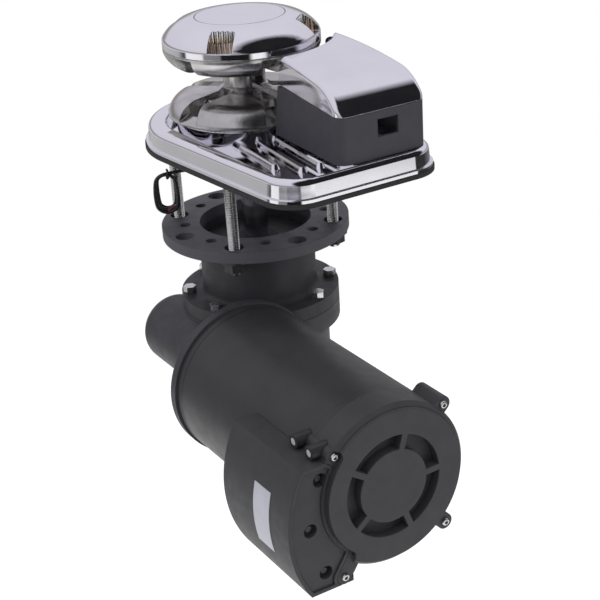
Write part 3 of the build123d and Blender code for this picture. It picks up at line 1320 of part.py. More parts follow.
with BuildPart() as box_front:
    with BuildSketch(Plane.YZ.offset(plate_x - BOX_PLATE_T)):
        add(box_section(BOX_WALL, COVER_INNER_R))
    extrude(amount=BOX_PLATE_T)
    with BuildSketch(Plane.YZ.offset(plate_x - BOX_PLATE_T - BOX_SCREW_LENGTH)):
        with Locations(*[(BOX_LEFT_Y + port_y, port_z) for port_y, port_z in PORTS]):
            Circle(PORT_BOSS_R)
        add(box_section(BOX_WALL, COVER_INNER_R), mode=Mode.INTERSECT)
    extrude(amount=BOX_SCREW_LENGTH)
    with BuildSketch(Plane.YZ.offset(plate_x - 2 * BOX_PLATE_T)):
        with Locations(*[(BOX_LEFT_Y + port_y, port_z) for port_y, port_z in PORTS]):
            Circle(PORT_R)
    extrude(amount=2 * BOX_PLATE_T, mode=Mode.SUBTRACT)
    with BuildSketch(Plane.YZ.offset(plate_x - BOX_PLATE_T - BOX_SCREW_LENGTH)):
        with Locations(*[(BOX_LEFT_Y + port_y, port_z) for port_y, port_z in PORTS]):
            Circle(BOX_SCREW_R)
    extrude(amount=BOX_SCREW_LENGTH, mode=Mode.SUBTRACT)
    add(motor_ears(BOX_WALL, rear_x, COVER_END_X), mode=Mode.SUBTRACT)

with BuildPart() as box_screws:
    with BuildSketch(Plane.YZ.offset(plate_x - BOX_PLATE_T - BOX_SCREW_LENGTH)):
        with Locations(*[(BOX_LEFT_Y + port_y, port_z) for port_y, port_z in PORTS]):
            Circle(BOX_SCREW_R)
    extrude(amount=BOX_SCREW_LENGTH)

with BuildPart() as terminal_posts:
    for post_x in TERMINALS_X:
        with BuildSketch(Plane.XZ.offset(MOTOR_R - TERMINAL_SINK - WORM_Y)):
            with Locations((post_x, WORM_Z + MOTOR_R - TERMINAL_DROP)):
                Circle(TERMINAL_R)
        extrude(amount=TERMINAL_SINK - MOTOR_R)
    add(ring(MOTOR_R, 0, BOX_START_X, COVER_END_X, worm_line), mode=Mode.SUBTRACT)
    add(motor_ears(0, YOKE_END_X, COVER_END_X), mode=Mode.SUBTRACT)

with BuildPart() as label_plate:
    with BuildSketch(Plane.YZ.offset(LABEL_X[0])):
        with Locations((BOX_ARC_Y, BOX_ARC_Z)):
            Circle(BOX_ARC_R + LABEL_T)
            Circle(BOX_ARC_R, mode=Mode.SUBTRACT)
        with Locations((BOX_LEFT_Y, (LABEL_Z[0] + LABEL_Z[1]) / 2)):
            Rectangle(BOX_ARC_R, LABEL_Z[1] - LABEL_Z[0], mode=Mode.INTERSECT)
    extrude(amount=LABEL_X[1] - LABEL_X[0])

# Chain sensor in the deck plate, with its cable and the bundle it ends in
with BuildPart() as chain_sensor:
    with BuildSketch(Plane.XY.offset(SENSOR_BOTTOM)):
        with PolarLocations(SENSOR_RING_R, 1, start_angle=SENSOR_ANGLE):
            Circle(SENSOR_R)
    extrude(amount=SENSOR_TOP - SENSOR_BOTTOM)

cable_points = [Vector(*point) for point in CABLE_ROUTE]
cable_radii = []
for before, here, after in zip(cable_points, cable_points[1:], cable_points[2:]):
    turn = radians((here - before).get_angle(after - here))
    shorter = min((here - before).length, (after - here).length)
    cable_radii.append(0.45 * shorter / tan(turn / 2))
print("cable radii", [round(radius, 1) for radius in cable_radii])

with BuildPart() as sensor_cable:
    with BuildLine() as cable_path:
        FilletPolyline(*cable_points, radius=cable_radii)
    with BuildSketch(Plane(origin=cable_path.line @ 0, z_dir=cable_path.line % 0)):
        Circle(CABLE_R)
    sweep()

with BuildPart() as sensor_cable_coil:
    coil_plane = Plane(origin=COIL_CENTRE, x_dir=(0, 0, 1), z_dir=Vector(*COIL_RUN).cross(Vector(0, 0, 1)))
    with BuildLine(coil_plane) as coil_path:
        half = COIL_STRAIGHT / 2
        Line((-half, COIL_END_R), (half, COIL_END_R))
        ThreePointArc((half, COIL_END_R), (half + COIL_END_R, 0), (half, -COIL_END_R))
        Line((half, -COIL_END_R), (-half, -COIL_END_R))
        ThreePointArc((-half, -COIL_END_R), (-half - COIL_END_R, 0), (-half, COIL_END_R))
    with BuildSketch(Plane(origin=coil_path.line @ 0, z_dir=coil_path.line % 0)):
        Circle(COIL_BUNDLE_R)
    sweep()

sub_parts = {
    "deck_gasket": deck_gasket,
    "base_plate": base_plate,
    "shaft_bush": shaft_bush,
    "shaft_seal": shaft_seal,
    "deck_studs": deck_studs,
    "stud_washers": stud_washers,
    "stud_nuts": stud_nuts,
    "main_shaft": main_shaft,
    "shaft_keys": shaft_keys,
    "wheel_key": wheel_key,
    "lower_cone": lower_cone,
    "upper_cone": upper_cone,
    "clutch_washer": clutch_washer,
    "gypsy": gypsy,
    "gypsy_bush": gypsy_bush,
    "gypsy_magnet": gypsy_magnet,
    "cap": cap,
    "cap_disc": cap_disc,
    "chain_stripper": chain_stripper,
    "hood_housing": hood_housing,
    "hood_screws": hood_screws,
    "hood_lid": hood_lid,
    "lid_pins": lid_pins,
    "gearbox_cover": gearbox_cover,
    "gearbox_gasket": gearbox_gasket,
    "gearbox_body": gearbox_body,
    "cover_bolts": cover_bolts,
    "oil_seal": oil_seal,
    "shaft_bearings_inner": shaft_bearings_inner,
    "shaft_bearings_outer": shaft_bearings_outer,
    "worm_wheel": worm_wheel,
    "worm": worm,
    "worm_bearings_inner": worm_bearings_inner,
    "worm_bearings_outer": worm_bearings_outer,
    "drive_bell": drive_bell,
    "motor_can": motor_can,
    "motor_magnets": motor_magnets,
    "armature": armature,
    "windings": windings,
    "commutator": commutator,
    "motor_shaft": motor_shaft,
    "motor_bearing_inner": motor_bearing_inner,
    "motor_bearing_outer": motor_bearing_outer,
    "rear_bell": rear_bell,
    "brush_holder": brush_holder,
    "brushes": brushes,
    "motor_cover": motor_cover,
    "cover_screws": cover_screws,
    "control_box": control_box,
    "box_front": box_front,
    "box_screws": box_screws,
    "terminal_posts": terminal_posts,
    "label_plate": label_plate,
    "chain_sensor": chain_sensor,
    "sensor_cable": sensor_cable,
    "sensor_cable_coil": sensor_cable_coil,
}

os.makedirs("parts", exist_ok=True)
for node, sub_part in sub_parts.items():
    sub_part.part.label = node
    export_step(sub_part.part, f"parts/{node}.step")
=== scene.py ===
import json
import math

import bpy
from mathutils import Matrix, Vector


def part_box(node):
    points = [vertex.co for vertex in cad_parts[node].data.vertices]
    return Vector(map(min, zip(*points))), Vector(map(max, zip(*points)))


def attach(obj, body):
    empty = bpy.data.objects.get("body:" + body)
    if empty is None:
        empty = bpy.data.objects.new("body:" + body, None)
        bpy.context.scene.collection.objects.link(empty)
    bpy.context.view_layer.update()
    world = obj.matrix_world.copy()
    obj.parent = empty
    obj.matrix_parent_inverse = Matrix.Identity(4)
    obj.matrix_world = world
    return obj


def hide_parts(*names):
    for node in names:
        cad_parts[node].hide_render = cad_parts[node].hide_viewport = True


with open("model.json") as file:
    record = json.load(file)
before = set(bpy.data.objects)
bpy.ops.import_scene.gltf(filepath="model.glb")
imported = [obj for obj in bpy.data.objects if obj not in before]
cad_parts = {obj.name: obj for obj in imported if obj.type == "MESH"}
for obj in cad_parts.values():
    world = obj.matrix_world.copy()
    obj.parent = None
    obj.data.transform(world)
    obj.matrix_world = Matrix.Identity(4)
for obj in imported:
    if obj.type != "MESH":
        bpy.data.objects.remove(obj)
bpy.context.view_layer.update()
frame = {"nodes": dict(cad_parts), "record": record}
nodes = frame["nodes"]
scene = bpy.context.scene
scene.view_settings.view_transform = "Standard"

SHADER = "Principled BSDF"
WORM_Y, WORM_Z = -0.06, -0.185  # axis of the worm and the motor, which runs along X


def link(obj):
    scene.collection.objects.link(obj)
    return obj


class Graph:
    """Node tree of a material or the world, built one node at a time."""

    def __init__(self, tree):
        self.tree = tree
        self.coords = None

    def node(self, kind, inputs=(), **settings):
        made = self.tree.nodes.new(kind)
        for key, value in settings.items():
            setattr(made, key, value)
        for key, value in dict(inputs).items():
            self.feed(made.inputs[key], value)
        return made

    def feed(self, socket, value):
        """Link the socket to another node's output, or set it to a constant."""
        if isinstance(value, bpy.types.NodeSocket):
            self.tree.links.new(value, socket)
        else:
            socket.default_value = value

    def place(self):
        if self.coords is None:
            self.coords = self.node("ShaderNodeTexCoord").outputs["Object"]
        return self.coords

    def noise(self, scale, detail=3.0, stretch=None):
        where = self.place()
        if stretch:
            where = self.node("ShaderNodeMapping", {"Vector": where, "Scale": stretch}).outputs[0]
        return self.node("ShaderNodeTexNoise", {"Vector": where, "Scale": scale, "Detail": detail}).outputs[0]

    def ramp(self, value, low, high, out_low=0.0, out_high=1.0):
        spread = self.node("ShaderNodeMapRange", {0: value, 1: low, 2: high, 3: out_low, 4: out_high})
        return spread.outputs[0]

    def math(self, operation, *values):
        return self.node("ShaderNodeMath", dict(enumerate(values)), operation=operation).outputs[0]

    def fold(self, operation, values):
        """The operation over two or more values, from the first to the last."""
        total = values[0]
        for value in values[1:]:
            total = self.math(operation, total, value)
        return total

    def axes(self):
        return self.node("ShaderNodeSeparateXYZ", {0: self.place()}).outputs

    def distance(self, first, second, centre):
        """Distance from a line along the third axis, through centre on the other two."""
        parts = self.axes()
        gaps = [self.math("SUBTRACT", parts[axis], place) for axis, place in zip((first, second), centre)]
        squares = [self.math("MULTIPLY", gap, gap) for gap in gaps]
        return self.math("SQRT", self.math("ADD", *squares))

    def mix(self, amount, a, b):
        mixed = self.node("ShaderNodeMix", {0: amount, 6: a, 7: b}, data_type="RGBA")
        return mixed.outputs[2]


def rgba(color):
    return (*color, 1.0)


CLOUD = (0.3, 0.7)  # range of a noise that a cloud spreads over its two values
GLOSS_SCALE = 2.3  # scale of the gloss clouds against the colour clouds


def surface(name, base, other, metallic=0.0, rough=(0.35, 0.45), cloud=60.0, grain=1500.0, bump=0.0,
            edge=0.0005, stretch=None, split=None, turned=None, marks=None, specular=0.5):
    """Principled material with cloudy colour, uneven gloss, a fine grain and softened edges.
    split = (axis, place, width, colour) changes colour across a level of the part, and
    turned = (axis, pitch, depth) cuts lines across an axis. marks works out where a second
    colour lies: marks(graph) gives (amount, colour)."""
    mat = bpy.data.materials.new(name)
    mat.use_nodes = True
    g = Graph(mat.node_tree)
    color = g.mix(g.ramp(g.noise(cloud, 4.0, stretch), *CLOUD), rgba(base), rgba(other))
    if split:
        axis, place, width, second = split
        color = g.mix(g.ramp(g.axes()[axis], place - width, place + width), color, rgba(second))
    if marks:
        amount, second = marks(g)
        color = g.mix(amount, color, rgba(second))
    normal = None
    if edge:
        normal = g.node("ShaderNodeBevel", {"Radius": edge}, samples=4).outputs[0]
    reliefs = []
    if turned:
        axis, pitch, depth = turned
        lines = g.node("ShaderNodeTexWave", {"Vector": g.place(), "Scale": 1.0 / pitch, "Distortion": 0.3},
                       wave_type="BANDS", bands_direction=axis)
        reliefs.append({"Height": lines.outputs[1], "Strength": 0.5, "Distance": depth})
    if bump:
        reliefs.append({"Height": g.noise(grain, 2.0), "Strength": 0.6, "Distance": bump})
    for relief in reliefs:
        if normal:
            relief["Normal"] = normal
        normal = g.node("ShaderNodeBump", relief).outputs[0]
    shader = mat.node_tree.nodes[SHADER].inputs
    g.feed(shader["Base Color"], color)
    g.feed(shader["Metallic"], metallic)
    g.feed(shader["Roughness"], g.ramp(g.noise(cloud * GLOSS_SCALE, 5.0, stretch), *CLOUD, *rough))
    g.feed(shader["Specular IOR Level"], specular)
    if normal:
        g.feed(shader["Normal"], normal)
    return mat


DARK_SEAM = (0.015, 0.015, 0.017)
DISC_SEAM_R = (0.0374, 0.0377)

CAP_TOP_Z = 0.1067
CAP_FLAT_R = 0.036
DOME_FALL = 12.4  # the cap's dome falls by this times the square of the distance from its flat middle
TARNISH_DEPTH = (0.0022, 0.006)
TARNISH_END_R = (0.0630, 0.0640)
TARNISH = (0.62, 0.49, 0.31)
TARNISH_SHARE = (0.45, 0.70)

BELL_SEAM_X = 0.0803
BELL_SEAM_HALF_WIDTH = (0.0005, 0.0008)  # where the seam starts to fade and where it ends

POST_AXES = ((0.252, -0.1425), (0.273, -0.1425))  # X and Z
POST_END_Y = (-0.1208, -0.1212)
POST_SCREW_R = (0.0026, 0.0030)
POST_SCREW = (0.55, 0.55, 0.53)


def disc_seam(g):
    return g.ramp(g.distance(0, 1, (0, 0)), *DISC_SEAM_R), DARK_SEAM


def pocket_tarnish(g):
    """Brown tarnish where the surface lies under the cap's dome, in its lever pockets."""
    radius = g.distance(0, 1, (0, 0))
    out = g.math("SUBTRACT", radius, CAP_FLAT_R)
    dome = g.math("SUBTRACT", CAP_TOP_Z, g.math("MULTIPLY", g.math("MULTIPLY", out, out), DOME_FALL))
    depth = g.math("SUBTRACT", dome, g.axes()[2])
    inside = g.math("MULTIPLY", g.ramp(depth, *TARNISH_DEPTH), g.ramp(radius, *TARNISH_END_R, 1.0, 0.0))
    patch = g.ramp(g.noise(60.0, 1.0), 0.35, 0.65, *TARNISH_SHARE)
    return g.math("MULTIPLY", inside, patch), TARNISH


def bell_seam(g):
    along = g.math("ABSOLUTE", g.math("SUBTRACT", g.axes()[0], BELL_SEAM_X))
    return g.ramp(along, *BELL_SEAM_HALF_WIDTH, 1.0, 0.0), DARK_SEAM


def post_ends(g):
    """Bright screw in the middle of each terminal post's end."""
    nearest = g.math("MINIMUM", *(g.distance(0, 2, place) for place in POST_AXES))
    end = g.ramp(g.axes()[1], *POST_END_Y)
    return g.math("MULTIPLY", end, g.ramp(nearest, *POST_SCREW_R, 1.0, 0.0)), POST_SCREW


CHROME = {"base": (0.88, 0.87, 0.91), "other": (0.84, 0.83, 0.87), "metallic": 1.0, "rough": (0.05, 0.09),
          "cloud": 35, "grain": 220, "bump": 0.00001}
COAT_SPECULAR = 0.30

chrome = surface("chrome_plate", **CHROME, edge=0.0006)
cap_chrome = surface("cap_chrome", **CHROME, edge=0.0006, marks=pocket_tarnish)
disc_chrome = surface("cap_disc_chrome", **CHROME, edge=0.0002, marks=disc_seam)
shaft_steel = surface("ground_shaft_steel", (0.80, 0.80, 0.80), (0.72, 0.72, 0.71), 1.0, (0.08, 0.14),
                      cloud=60, stretch=(1.0, 1.0, 0.15))
cast_steel = surface("cast_gypsy_steel", (0.48, 0.47, 0.46), (0.62, 0.61, 0.60), 1.0, (0.17, 0.27),
                     cloud=55, grain=420, bump=0.00012, edge=0.0014)
machined = surface("machined_steel", (0.60, 0.60, 0.60), (0.52, 0.52, 0.51), 1.0, (0.22, 0.34),
                   cloud=90, turned=("Z", 0.0012, 0.00004))
bright_steel = surface("bright_fastener_steel", (0.72, 0.72, 0.70), (0.60, 0.60, 0.58), 1.0, (0.16, 0.30),
                       cloud=300, grain=3000, bump=0.00003, edge=0.0003)
# Dark fastener steel: the stud nuts and washers are blackened; on the box screws the dark colour is painted
# shade from their recessed ports.
black_nut_and_shaded_screw_steel = surface("blackened_nut_and_shade_darkened_screw_steel", (0.040, 0.040, 0.043), (0.070, 0.070, 0.072), 0.6,
                      (0.35, 0.50), cloud=240, grain=2400, bump=0.00005, edge=0.0004)
casting = surface("black_casting_coat", (0.041, 0.041, 0.045), (0.053, 0.051, 0.058), 0.0, (0.44, 0.56),
                  cloud=45, grain=1300, bump=0.00016, edge=0.0012, specular=COAT_SPECULAR)
flange = surface("deck_flange_coat", (0.035, 0.035, 0.038), (0.045, 0.043, 0.049), 0.0, (0.44, 0.56),
                 cloud=45, grain=1300, bump=0.00012, edge=0.0006, specular=COAT_SPECULAR,
                 split=(2, -0.0845, 0.0015, (0.080, 0.077, 0.088)))
motor_coat = surface("black_motor_coat", (0.032, 0.032, 0.033), (0.038, 0.038, 0.040), 0.0, (0.36, 0.46),
                     cloud=30, grain=1800, bump=0.00006, edge=0.0008, marks=bell_seam, specular=COAT_SPECULAR)
cover_plastic = surface("ribbed_cover_plastic", (0.041, 0.041, 0.042), (0.047, 0.047, 0.049), 0.0,
                        (0.46, 0.56), cloud=55, grain=2400, bump=0.00007, edge=0.0010, specular=COAT_SPECULAR)
post_plastic = surface("terminal_post_plastic", (0.022, 0.022, 0.023), (0.028, 0.028, 0.029), 0.0,
                       (0.40, 0.50), cloud=200, grain=2600, bump=0.00004, edge=0.0006, marks=post_ends)
hood_plastic = surface("hood_plastic", (0.046, 0.044, 0.054), (0.052, 0.050, 0.060), 0.0, (0.52, 0.62),
                       cloud=50, grain=3000, bump=0.00007, edge=0.0012)
rubber = surface("gasket_rubber", (0.018, 0.018, 0.019), (0.026, 0.026, 0.027), 0.0, (0.65, 0.80),
                 cloud=120, grain=2500, bump=0.00008)
bronze = surface("bronze", (0.50, 0.32, 0.15), (0.42, 0.27, 0.13), 1.0, (0.22, 0.34),
                 cloud=120, turned=("Z", 0.0012, 0.00004))
iron = surface("stacked_sheet_iron", (0.20, 0.195, 0.19), (0.15, 0.147, 0.142), 0.8, (0.40, 0.55),
               cloud=150, turned=("X", 0.001, 0.00006))
copper = surface("enamelled_copper", (0.62, 0.26, 0.12), (0.52, 0.21, 0.10), 0.9, (0.28, 0.42),
                 cloud=200, turned=("X", 0.0016, 0.0002))
carbon = surface("carbon", (0.020, 0.020, 0.021), (0.032, 0.032, 0.033), 0.0, (0.50, 0.65),
                 cloud=400, grain=4000, bump=0.00008)
ferrite = surface("ferrite", (0.050, 0.050, 0.052), (0.065, 0.065, 0.067), 0.0, (0.50, 0.62),
                  cloud=260, grain=2600, bump=0.0001)
holder = surface("brush_holder_board", (0.13, 0.07, 0.04), (0.17, 0.09, 0.05), 0.0, (0.45, 0.55),
                 cloud=180, grain=2200, bump=0.00005)
sensor_plastic = surface("sensor_plastic", (0.016, 0.016, 0.017), (0.022, 0.022, 0.023), 0.0, (0.35, 0.45),
                         cloud=200, grain=2600, bump=0.00004)
label_film = surface("label_film", (0.50, 0.50, 0.55), (0.54, 0.54, 0.59), 0.0, (0.30, 0.38),
                     cloud=90, grain=900, bump=0.00002, edge=0.0002)
cable_jacket = surface("cable_jacket", (0.012, 0.012, 0.013), (0.018, 0.018, 0.019), 0.0, (0.20, 0.30),
                       cloud=300, grain=3000, bump=0.00004, edge=0)
red_sleeve = surface("red_brown_sleeve", (0.16, 0.035, 0.030), (0.11, 0.025, 0.024), 0.0, (0.35, 0.50),
                     cloud=500, grain=3500, bump=0.00005, edge=0)

slot_materials = {
    "chrome": chrome, "cast_steel": cast_steel, "machined_steel": machined, "bolt_steel": bright_steel,
    "flange_coat": flange, "casting_coat": casting, "motor_coat": motor_coat, "cover_plastic": cover_plastic,
    "hood_plastic": hood_plastic, "bronze": bronze, "gasket_rubber": rubber, "laminations": iron,
    "copper": copper, "carbon": carbon, "ferrite": ferrite, "holder_plastic": holder,
    "sensor_plastic": sensor_plastic, "label_film": label_film, "cable_jacket": cable_jacket,
}
node_materials = {
    "cap": cap_chrome, "cap_disc": disc_chrome, "main_shaft": shaft_steel, "terminal_posts": post_plastic,
    # box_screws take the dark steel as painted shade of their recessed ports
    "stud_nuts": black_nut_and_shaded_screw_steel, "stud_washers": black_nut_and_shaded_screw_steel, "box_screws": black_nut_and_shaded_screw_steel,
}


CAD_SHARP_ANGLE = 28


def smooth_faces(mesh, sharp_angle):
    mesh.shade_smooth()
    mesh.set_sharp_from_angle(angle=math.radians(sharp_angle))


for entry in frame["record"]["subparts"]:
    name = entry["node"]
    mesh = nodes[name].data
    mesh.materials.clear()
    mesh.materials.append(node_materials.get(name) or slot_materials[entry["material_slot"]])
    smooth_faces(mesh, CAD_SHARP_ANGLE)


def mesh_piece(name, verts, faces, mat, slot, sharp_angle=30):
    """Mesh on the frame body, with one material."""
    mesh = bpy.data.meshes.new(name)
    mesh.from_pydata([tuple(v) for v in verts], [], faces)
    mesh.validate()
    obj = link(bpy.data.objects.new(name, mesh))
    mesh.materials.append(mat)
    smooth_faces(mesh, sharp_angle)
    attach(obj, "frame")
    return obj


def skin(rings, around):
    """Faces of a tube with closed ends, whose vertices lie ring by ring."""
    faces = []
    for i in range(rings - 1):
        for j in range(around):
            k = (j + 1) % around
            faces.append((i * around + j, i * around + k, (i + 1) * around + k, (i + 1) * around + j))
    faces.append(list(reversed(range(around))))
    faces.append([(rings - 1) * around + j for j in range(around)])
    return faces


def joined(parts):
    """One mesh's vertices and faces from those of several."""
    verts, faces = [], []
    for part_verts, part_faces in parts:
        first = len(verts)
        verts += part_verts
        faces += [[first + i for i in face] for face in part_faces]
    return verts, faces


# Studs: rolled thread over the whole length; its crests reach the radius of the solid's bare middle
STUD_CIRCLE_R = 0.07
STUD_ANGLES = (45, 135, 225, 315)
THREAD_Z = (-0.0985, 0.0105)
THREAD_PITCH, THREAD_CREST_R, THREAD_ROOT_R = 0.0015, 0.005, 0.00425
THREAD_END_R = THREAD_ROOT_R - 0.0004
ROUND = 24  # points round a small turned piece


def stud_mesh(angle):
    low, high = THREAD_Z
    centre_x = STUD_CIRCLE_R * math.cos(math.radians(angle))
    centre_y = STUD_CIRCLE_R * math.sin(math.radians(angle))
    steps = int((high - low) / THREAD_PITCH * 2)
    verts = []
    for i in range(steps + 1):
        at_end = i in (0, steps)
        r = THREAD_END_R if at_end else THREAD_CREST_R if i % 2 else THREAD_ROOT_R
        for j in range(ROUND):
            turn = 2 * math.pi * j / ROUND
            climb = 0 if at_end else THREAD_PITCH * j / ROUND
            z = min(low + (high - low) * i / steps + climb, high)
            verts.append((centre_x + r * math.cos(turn), centre_y + r * math.sin(turn), z))
    return verts, skin(steps + 1, ROUND)


studs = mesh_piece("threaded_studs", *joined(stud_mesh(angle) for angle in STUD_ANGLES), bright_steel,
                   "bolt_steel", sharp_angle=50)
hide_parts("deck_studs")

# Ear screws: small button heads with a hexagon socket, low on the ears' end faces
HEAD_R, HEAD_HEIGHT = 0.0031, 0.0022
SOCKET_R, SOCKET_DEPTH = 0.0015, 0.0014
EAR_SINK = 0.004  # from the ends of the CAD heads to the ears' faces
EAR_SPOTS = ((0.070, 45), (0.0725, -47), (0.062, 140), (0.078, -124))  # distance and angle about the motor


def socket_head(distance, angle, face_x):
    """Head turned about a line along X; its rim is round and its socket a hexagon."""
    centre_y = WORM_Y + distance * math.cos(math.radians(angle))
    centre_z = WORM_Z + distance * math.sin(math.radians(angle))
    rings = [(HEAD_R, 0.0, False), (HEAD_R, HEAD_HEIGHT * 0.55, False),
             (HEAD_R * 0.82, HEAD_HEIGHT * 0.92, False), (HEAD_R * 0.66, HEAD_HEIGHT, False),
             (SOCKET_R * 1.12, HEAD_HEIGHT, True), (SOCKET_R, HEAD_HEIGHT - 0.0002, True),
             (SOCKET_R, HEAD_HEIGHT - SOCKET_DEPTH, True)]  # radius, height above the ear, hexagon
    side = math.pi / 3
    verts = []
    for r, up, hexagon in rings:
        for j in range(ROUND):
            turn = 2 * math.pi * j / ROUND
            reach = r / math.cos((turn + side / 2) % side - side / 2) if hexagon else r
            verts.append((face_x + up, centre_y + reach * math.cos(turn), centre_z + reach * math.sin(turn)))
    return verts, skin(len(rings), ROUND)


ear_face_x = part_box("cover_screws")[1][0] - EAR_SINK
ear_heads = joined(socket_head(distance, angle, ear_face_x) for distance, angle in EAR_SPOTS)
ear_screws = mesh_piece("ear_screw_heads", *ear_heads, bright_steel, "bolt_steel", sharp_angle=35)
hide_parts("cover_screws")

# Sensor cable: one spline from the sensor, down and round in a loose, tied coil
CABLE_R = 0.0015
COIL_CENTRE = Vector((-0.0436, -0.0625, -0.048))
COIL_RUN = Vector((0.507, 0.862, 0)).normalized()  # to the right in the photograph
COIL_SIDE = Vector((0.862, -0.507, 0)).normalized()  # towards the camera
COIL_UP = Vector((0, 0, 1))
COIL_TOP = 0.0172
COIL_BEND_R = 0.0090
COIL_HALF_STRAIGHT = 0.0076
COIL_BEND_COSINE = 0.38  # the bends run where the turn's cosine is beyond this, and the straights between
LOOSE_AT_TIE = 0.25  # share of the wander that is left at the tie
RADIUS_WANDER = (0.0014, 2.9, 0.4)  # size, radians a turn, and start
SIDE_WANDER = (0.0030, 2.3, 0.9)
POINTS_PER_TURN, COIL_POINTS = 16, 59


def on_coil(up, run, side):
    return COIL_CENTRE + COIL_UP * up + COIL_RUN * run + COIL_SIDE * side


def wander(station, size, pace, start):
    return size * math.sin(pace * station + start)


def coil_point(station):
    """Point after that many turns. The turns wander, and close up at the tie at the top."""
    angle = 2 * math.pi * station
    loose = LOOSE_AT_TIE + (1 - LOOSE_AT_TIE) * min(1.0, max(0.0, 1.0 - math.cos(angle)))
    radius = COIL_BEND_R + wander(station, *RADIUS_WANDER) * loose
    straight = COIL_HALF_STRAIGHT * max(-1.0, min(1.0, math.cos(angle) / COIL_BEND_COSINE))
    side = wander(station, *SIDE_WANDER) * loose
    return on_coil(straight + radius * math.cos(angle), -radius * math.sin(angle), side)


route = [
    Vector((-0.03005, -0.03005, -0.012)),
    Vector((-0.03005, -0.03005, -0.022)),
    Vector((-0.0333, -0.0378, -0.029)),
    Vector((-0.0380, -0.0495, -0.0295)),
    on_coil(COIL_TOP, -0.0002, 0.0),
]
route += [coil_point(k / POINTS_PER_TURN) for k in range(1, COIL_POINTS)]

curve = bpy.data.curves.new("sensor_lead", "CURVE")
curve.dimensions = "3D"
spline = curve.splines.new("NURBS")
spline.points.add(len(route) - 1)
for point, place in zip(spline.points, route):
    point.co = (*place, 1.0)
spline.order_u = 3
spline.use_endpoint_u = True
spline.resolution_u = 4
curve.materials.append(cable_jacket)
centre_line = curve.copy()
curve.bevel_depth = CABLE_R
curve.bevel_resolution = 4
curve.use_fill_caps = True
lead = link(bpy.data.objects.new("sensor_lead", curve))
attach(lead, "frame")
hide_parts("sensor_cable", "sensor_cable_coil")

probe = bpy.data.objects.new("probe", centre_line)
line_points = [v.co.copy() for v in bpy.data.meshes.new_from_object(probe).vertices]
bpy.data.objects.remove(probe)


def tube(points, radii, around=12, reference=COIL_SIDE):
    """Closed tube along points, with its own radius at each; no part of it runs along reference."""
    verts = []
    last = len(points) - 1
    for i, point in enumerate(points):
        ahead = (points[min(i + 1, last)] - points[max(i - 1, 0)]).normalized()
        across = ahead.cross(reference).normalized()
        other = ahead.cross(across)
        for j in range(around):
            turn = 2 * math.pi * j / around
            verts.append(point + (across * math.cos(turn) + other * math.sin(turn)) * radii[i])
    return verts, skin(len(points), around)


# The cable's end: a red sleeve, then two bare wires that droop
SLEEVE_RADII = (0.0017, 0.0019, 0.0019, 0.0019, 0.0019, 0.0018, 0.0015)
SLEEVE_LENGTH, SLEEVE_STEP = 0.007, 0.0012
WIRE_R, WIRE_STEP, WIRE_POINTS = 0.0005, 0.001, 5
WIRE_SPREADS = (-0.0008, 0.0008)
WIRE_SPLAY = 0.3  # share of its spread by which a wire leaves the middle at each point
WIRE_DROOP = Vector((0, 0, -0.25))
tail = line_points[-1]
heading = (line_points[-1] - line_points[-4]).normalized()
down = (heading + WIRE_DROOP).normalized()
sleeve_path = [tail - heading * SLEEVE_LENGTH + heading * SLEEVE_STEP * i for i in range(len(SLEEVE_RADII) - 1)]
sleeve_path.append(tail + down * 0.0006)
sleeve = mesh_piece("lead_sleeve", *tube(sleeve_path, SLEEVE_RADII), red_sleeve, "cable_jacket")


def wire(spread):
    start = tail + COIL_RUN * spread
    path = [start + down * WIRE_STEP * i + COIL_RUN * spread * WIRE_SPLAY * i for i in range(WIRE_POINTS)]
    return tube(path, [WIRE_R] * WIRE_POINTS, around=8)


wires = mesh_piece("lead_wire_ends", *joined(wire(spread) for spread in WIRE_SPREADS), bright_steel,
                   "bolt_steel")

# The tie: a band round the cable's turns at the coil's top
TIE_POINTS, TIE_R = 25, 0.0008
TIE_UP, TIE_RUN = 0.0170, 0.0022  # its middle, on the coil
TIE_HALF_UP, TIE_HALF_SIDE, TIE_SKEW = 0.0040, 0.0038, 0.0007
tie_turns = [2 * math.pi * k / (TIE_POINTS - 1) for k in range(TIE_POINTS)]
tie_path = [on_coil(TIE_UP + TIE_HALF_UP * math.sin(turn), TIE_RUN + TIE_SKEW * math.sin(2 * turn),
                    TIE_HALF_SIDE * math.cos(turn)) for turn in tie_turns]
tie_mesh = tube(tie_path, [TIE_R] * TIE_POINTS, around=8, reference=COIL_RUN)
tie = mesh_piece("lead_tie", *tie_mesh, sensor_plastic, "sensor_plastic")

# Camera at the photograph's place
CAMERA_PLACE = (1.02823, -0.56434, 0.37505)
CAMERA_LENS, CAMERA_SENSOR = 85.25, 36.0
azimuth, elevation, roll = math.radians(-30.453), math.radians(24.415), math.radians(-3.724)
back = Vector((math.cos(elevation) * math.cos(azimuth), math.cos(elevation) * math.sin(azimuth),
               math.sin(elevation)))
right = (-back).cross(Vector((0, 0, 1))).normalized()
up = right.cross(-back)
cam_x = right * math.cos(roll) + up * math.sin(roll)
cam_y = -right * math.sin(roll) + up * math.cos(roll)
camera_data = bpy.data.cameras.new("camera")
camera_data.sensor_width = CAMERA_SENSOR
camera_data.lens = CAMERA_LENS
camera_data.clip_start = 0.01
camera = link(bpy.data.objects.new("camera", camera_data))
camera.matrix_world = Matrix.Translation(CAMERA_PLACE) @ Matrix((cam_x, cam_y, back)).transposed().to_4x4()
scene.camera = camera

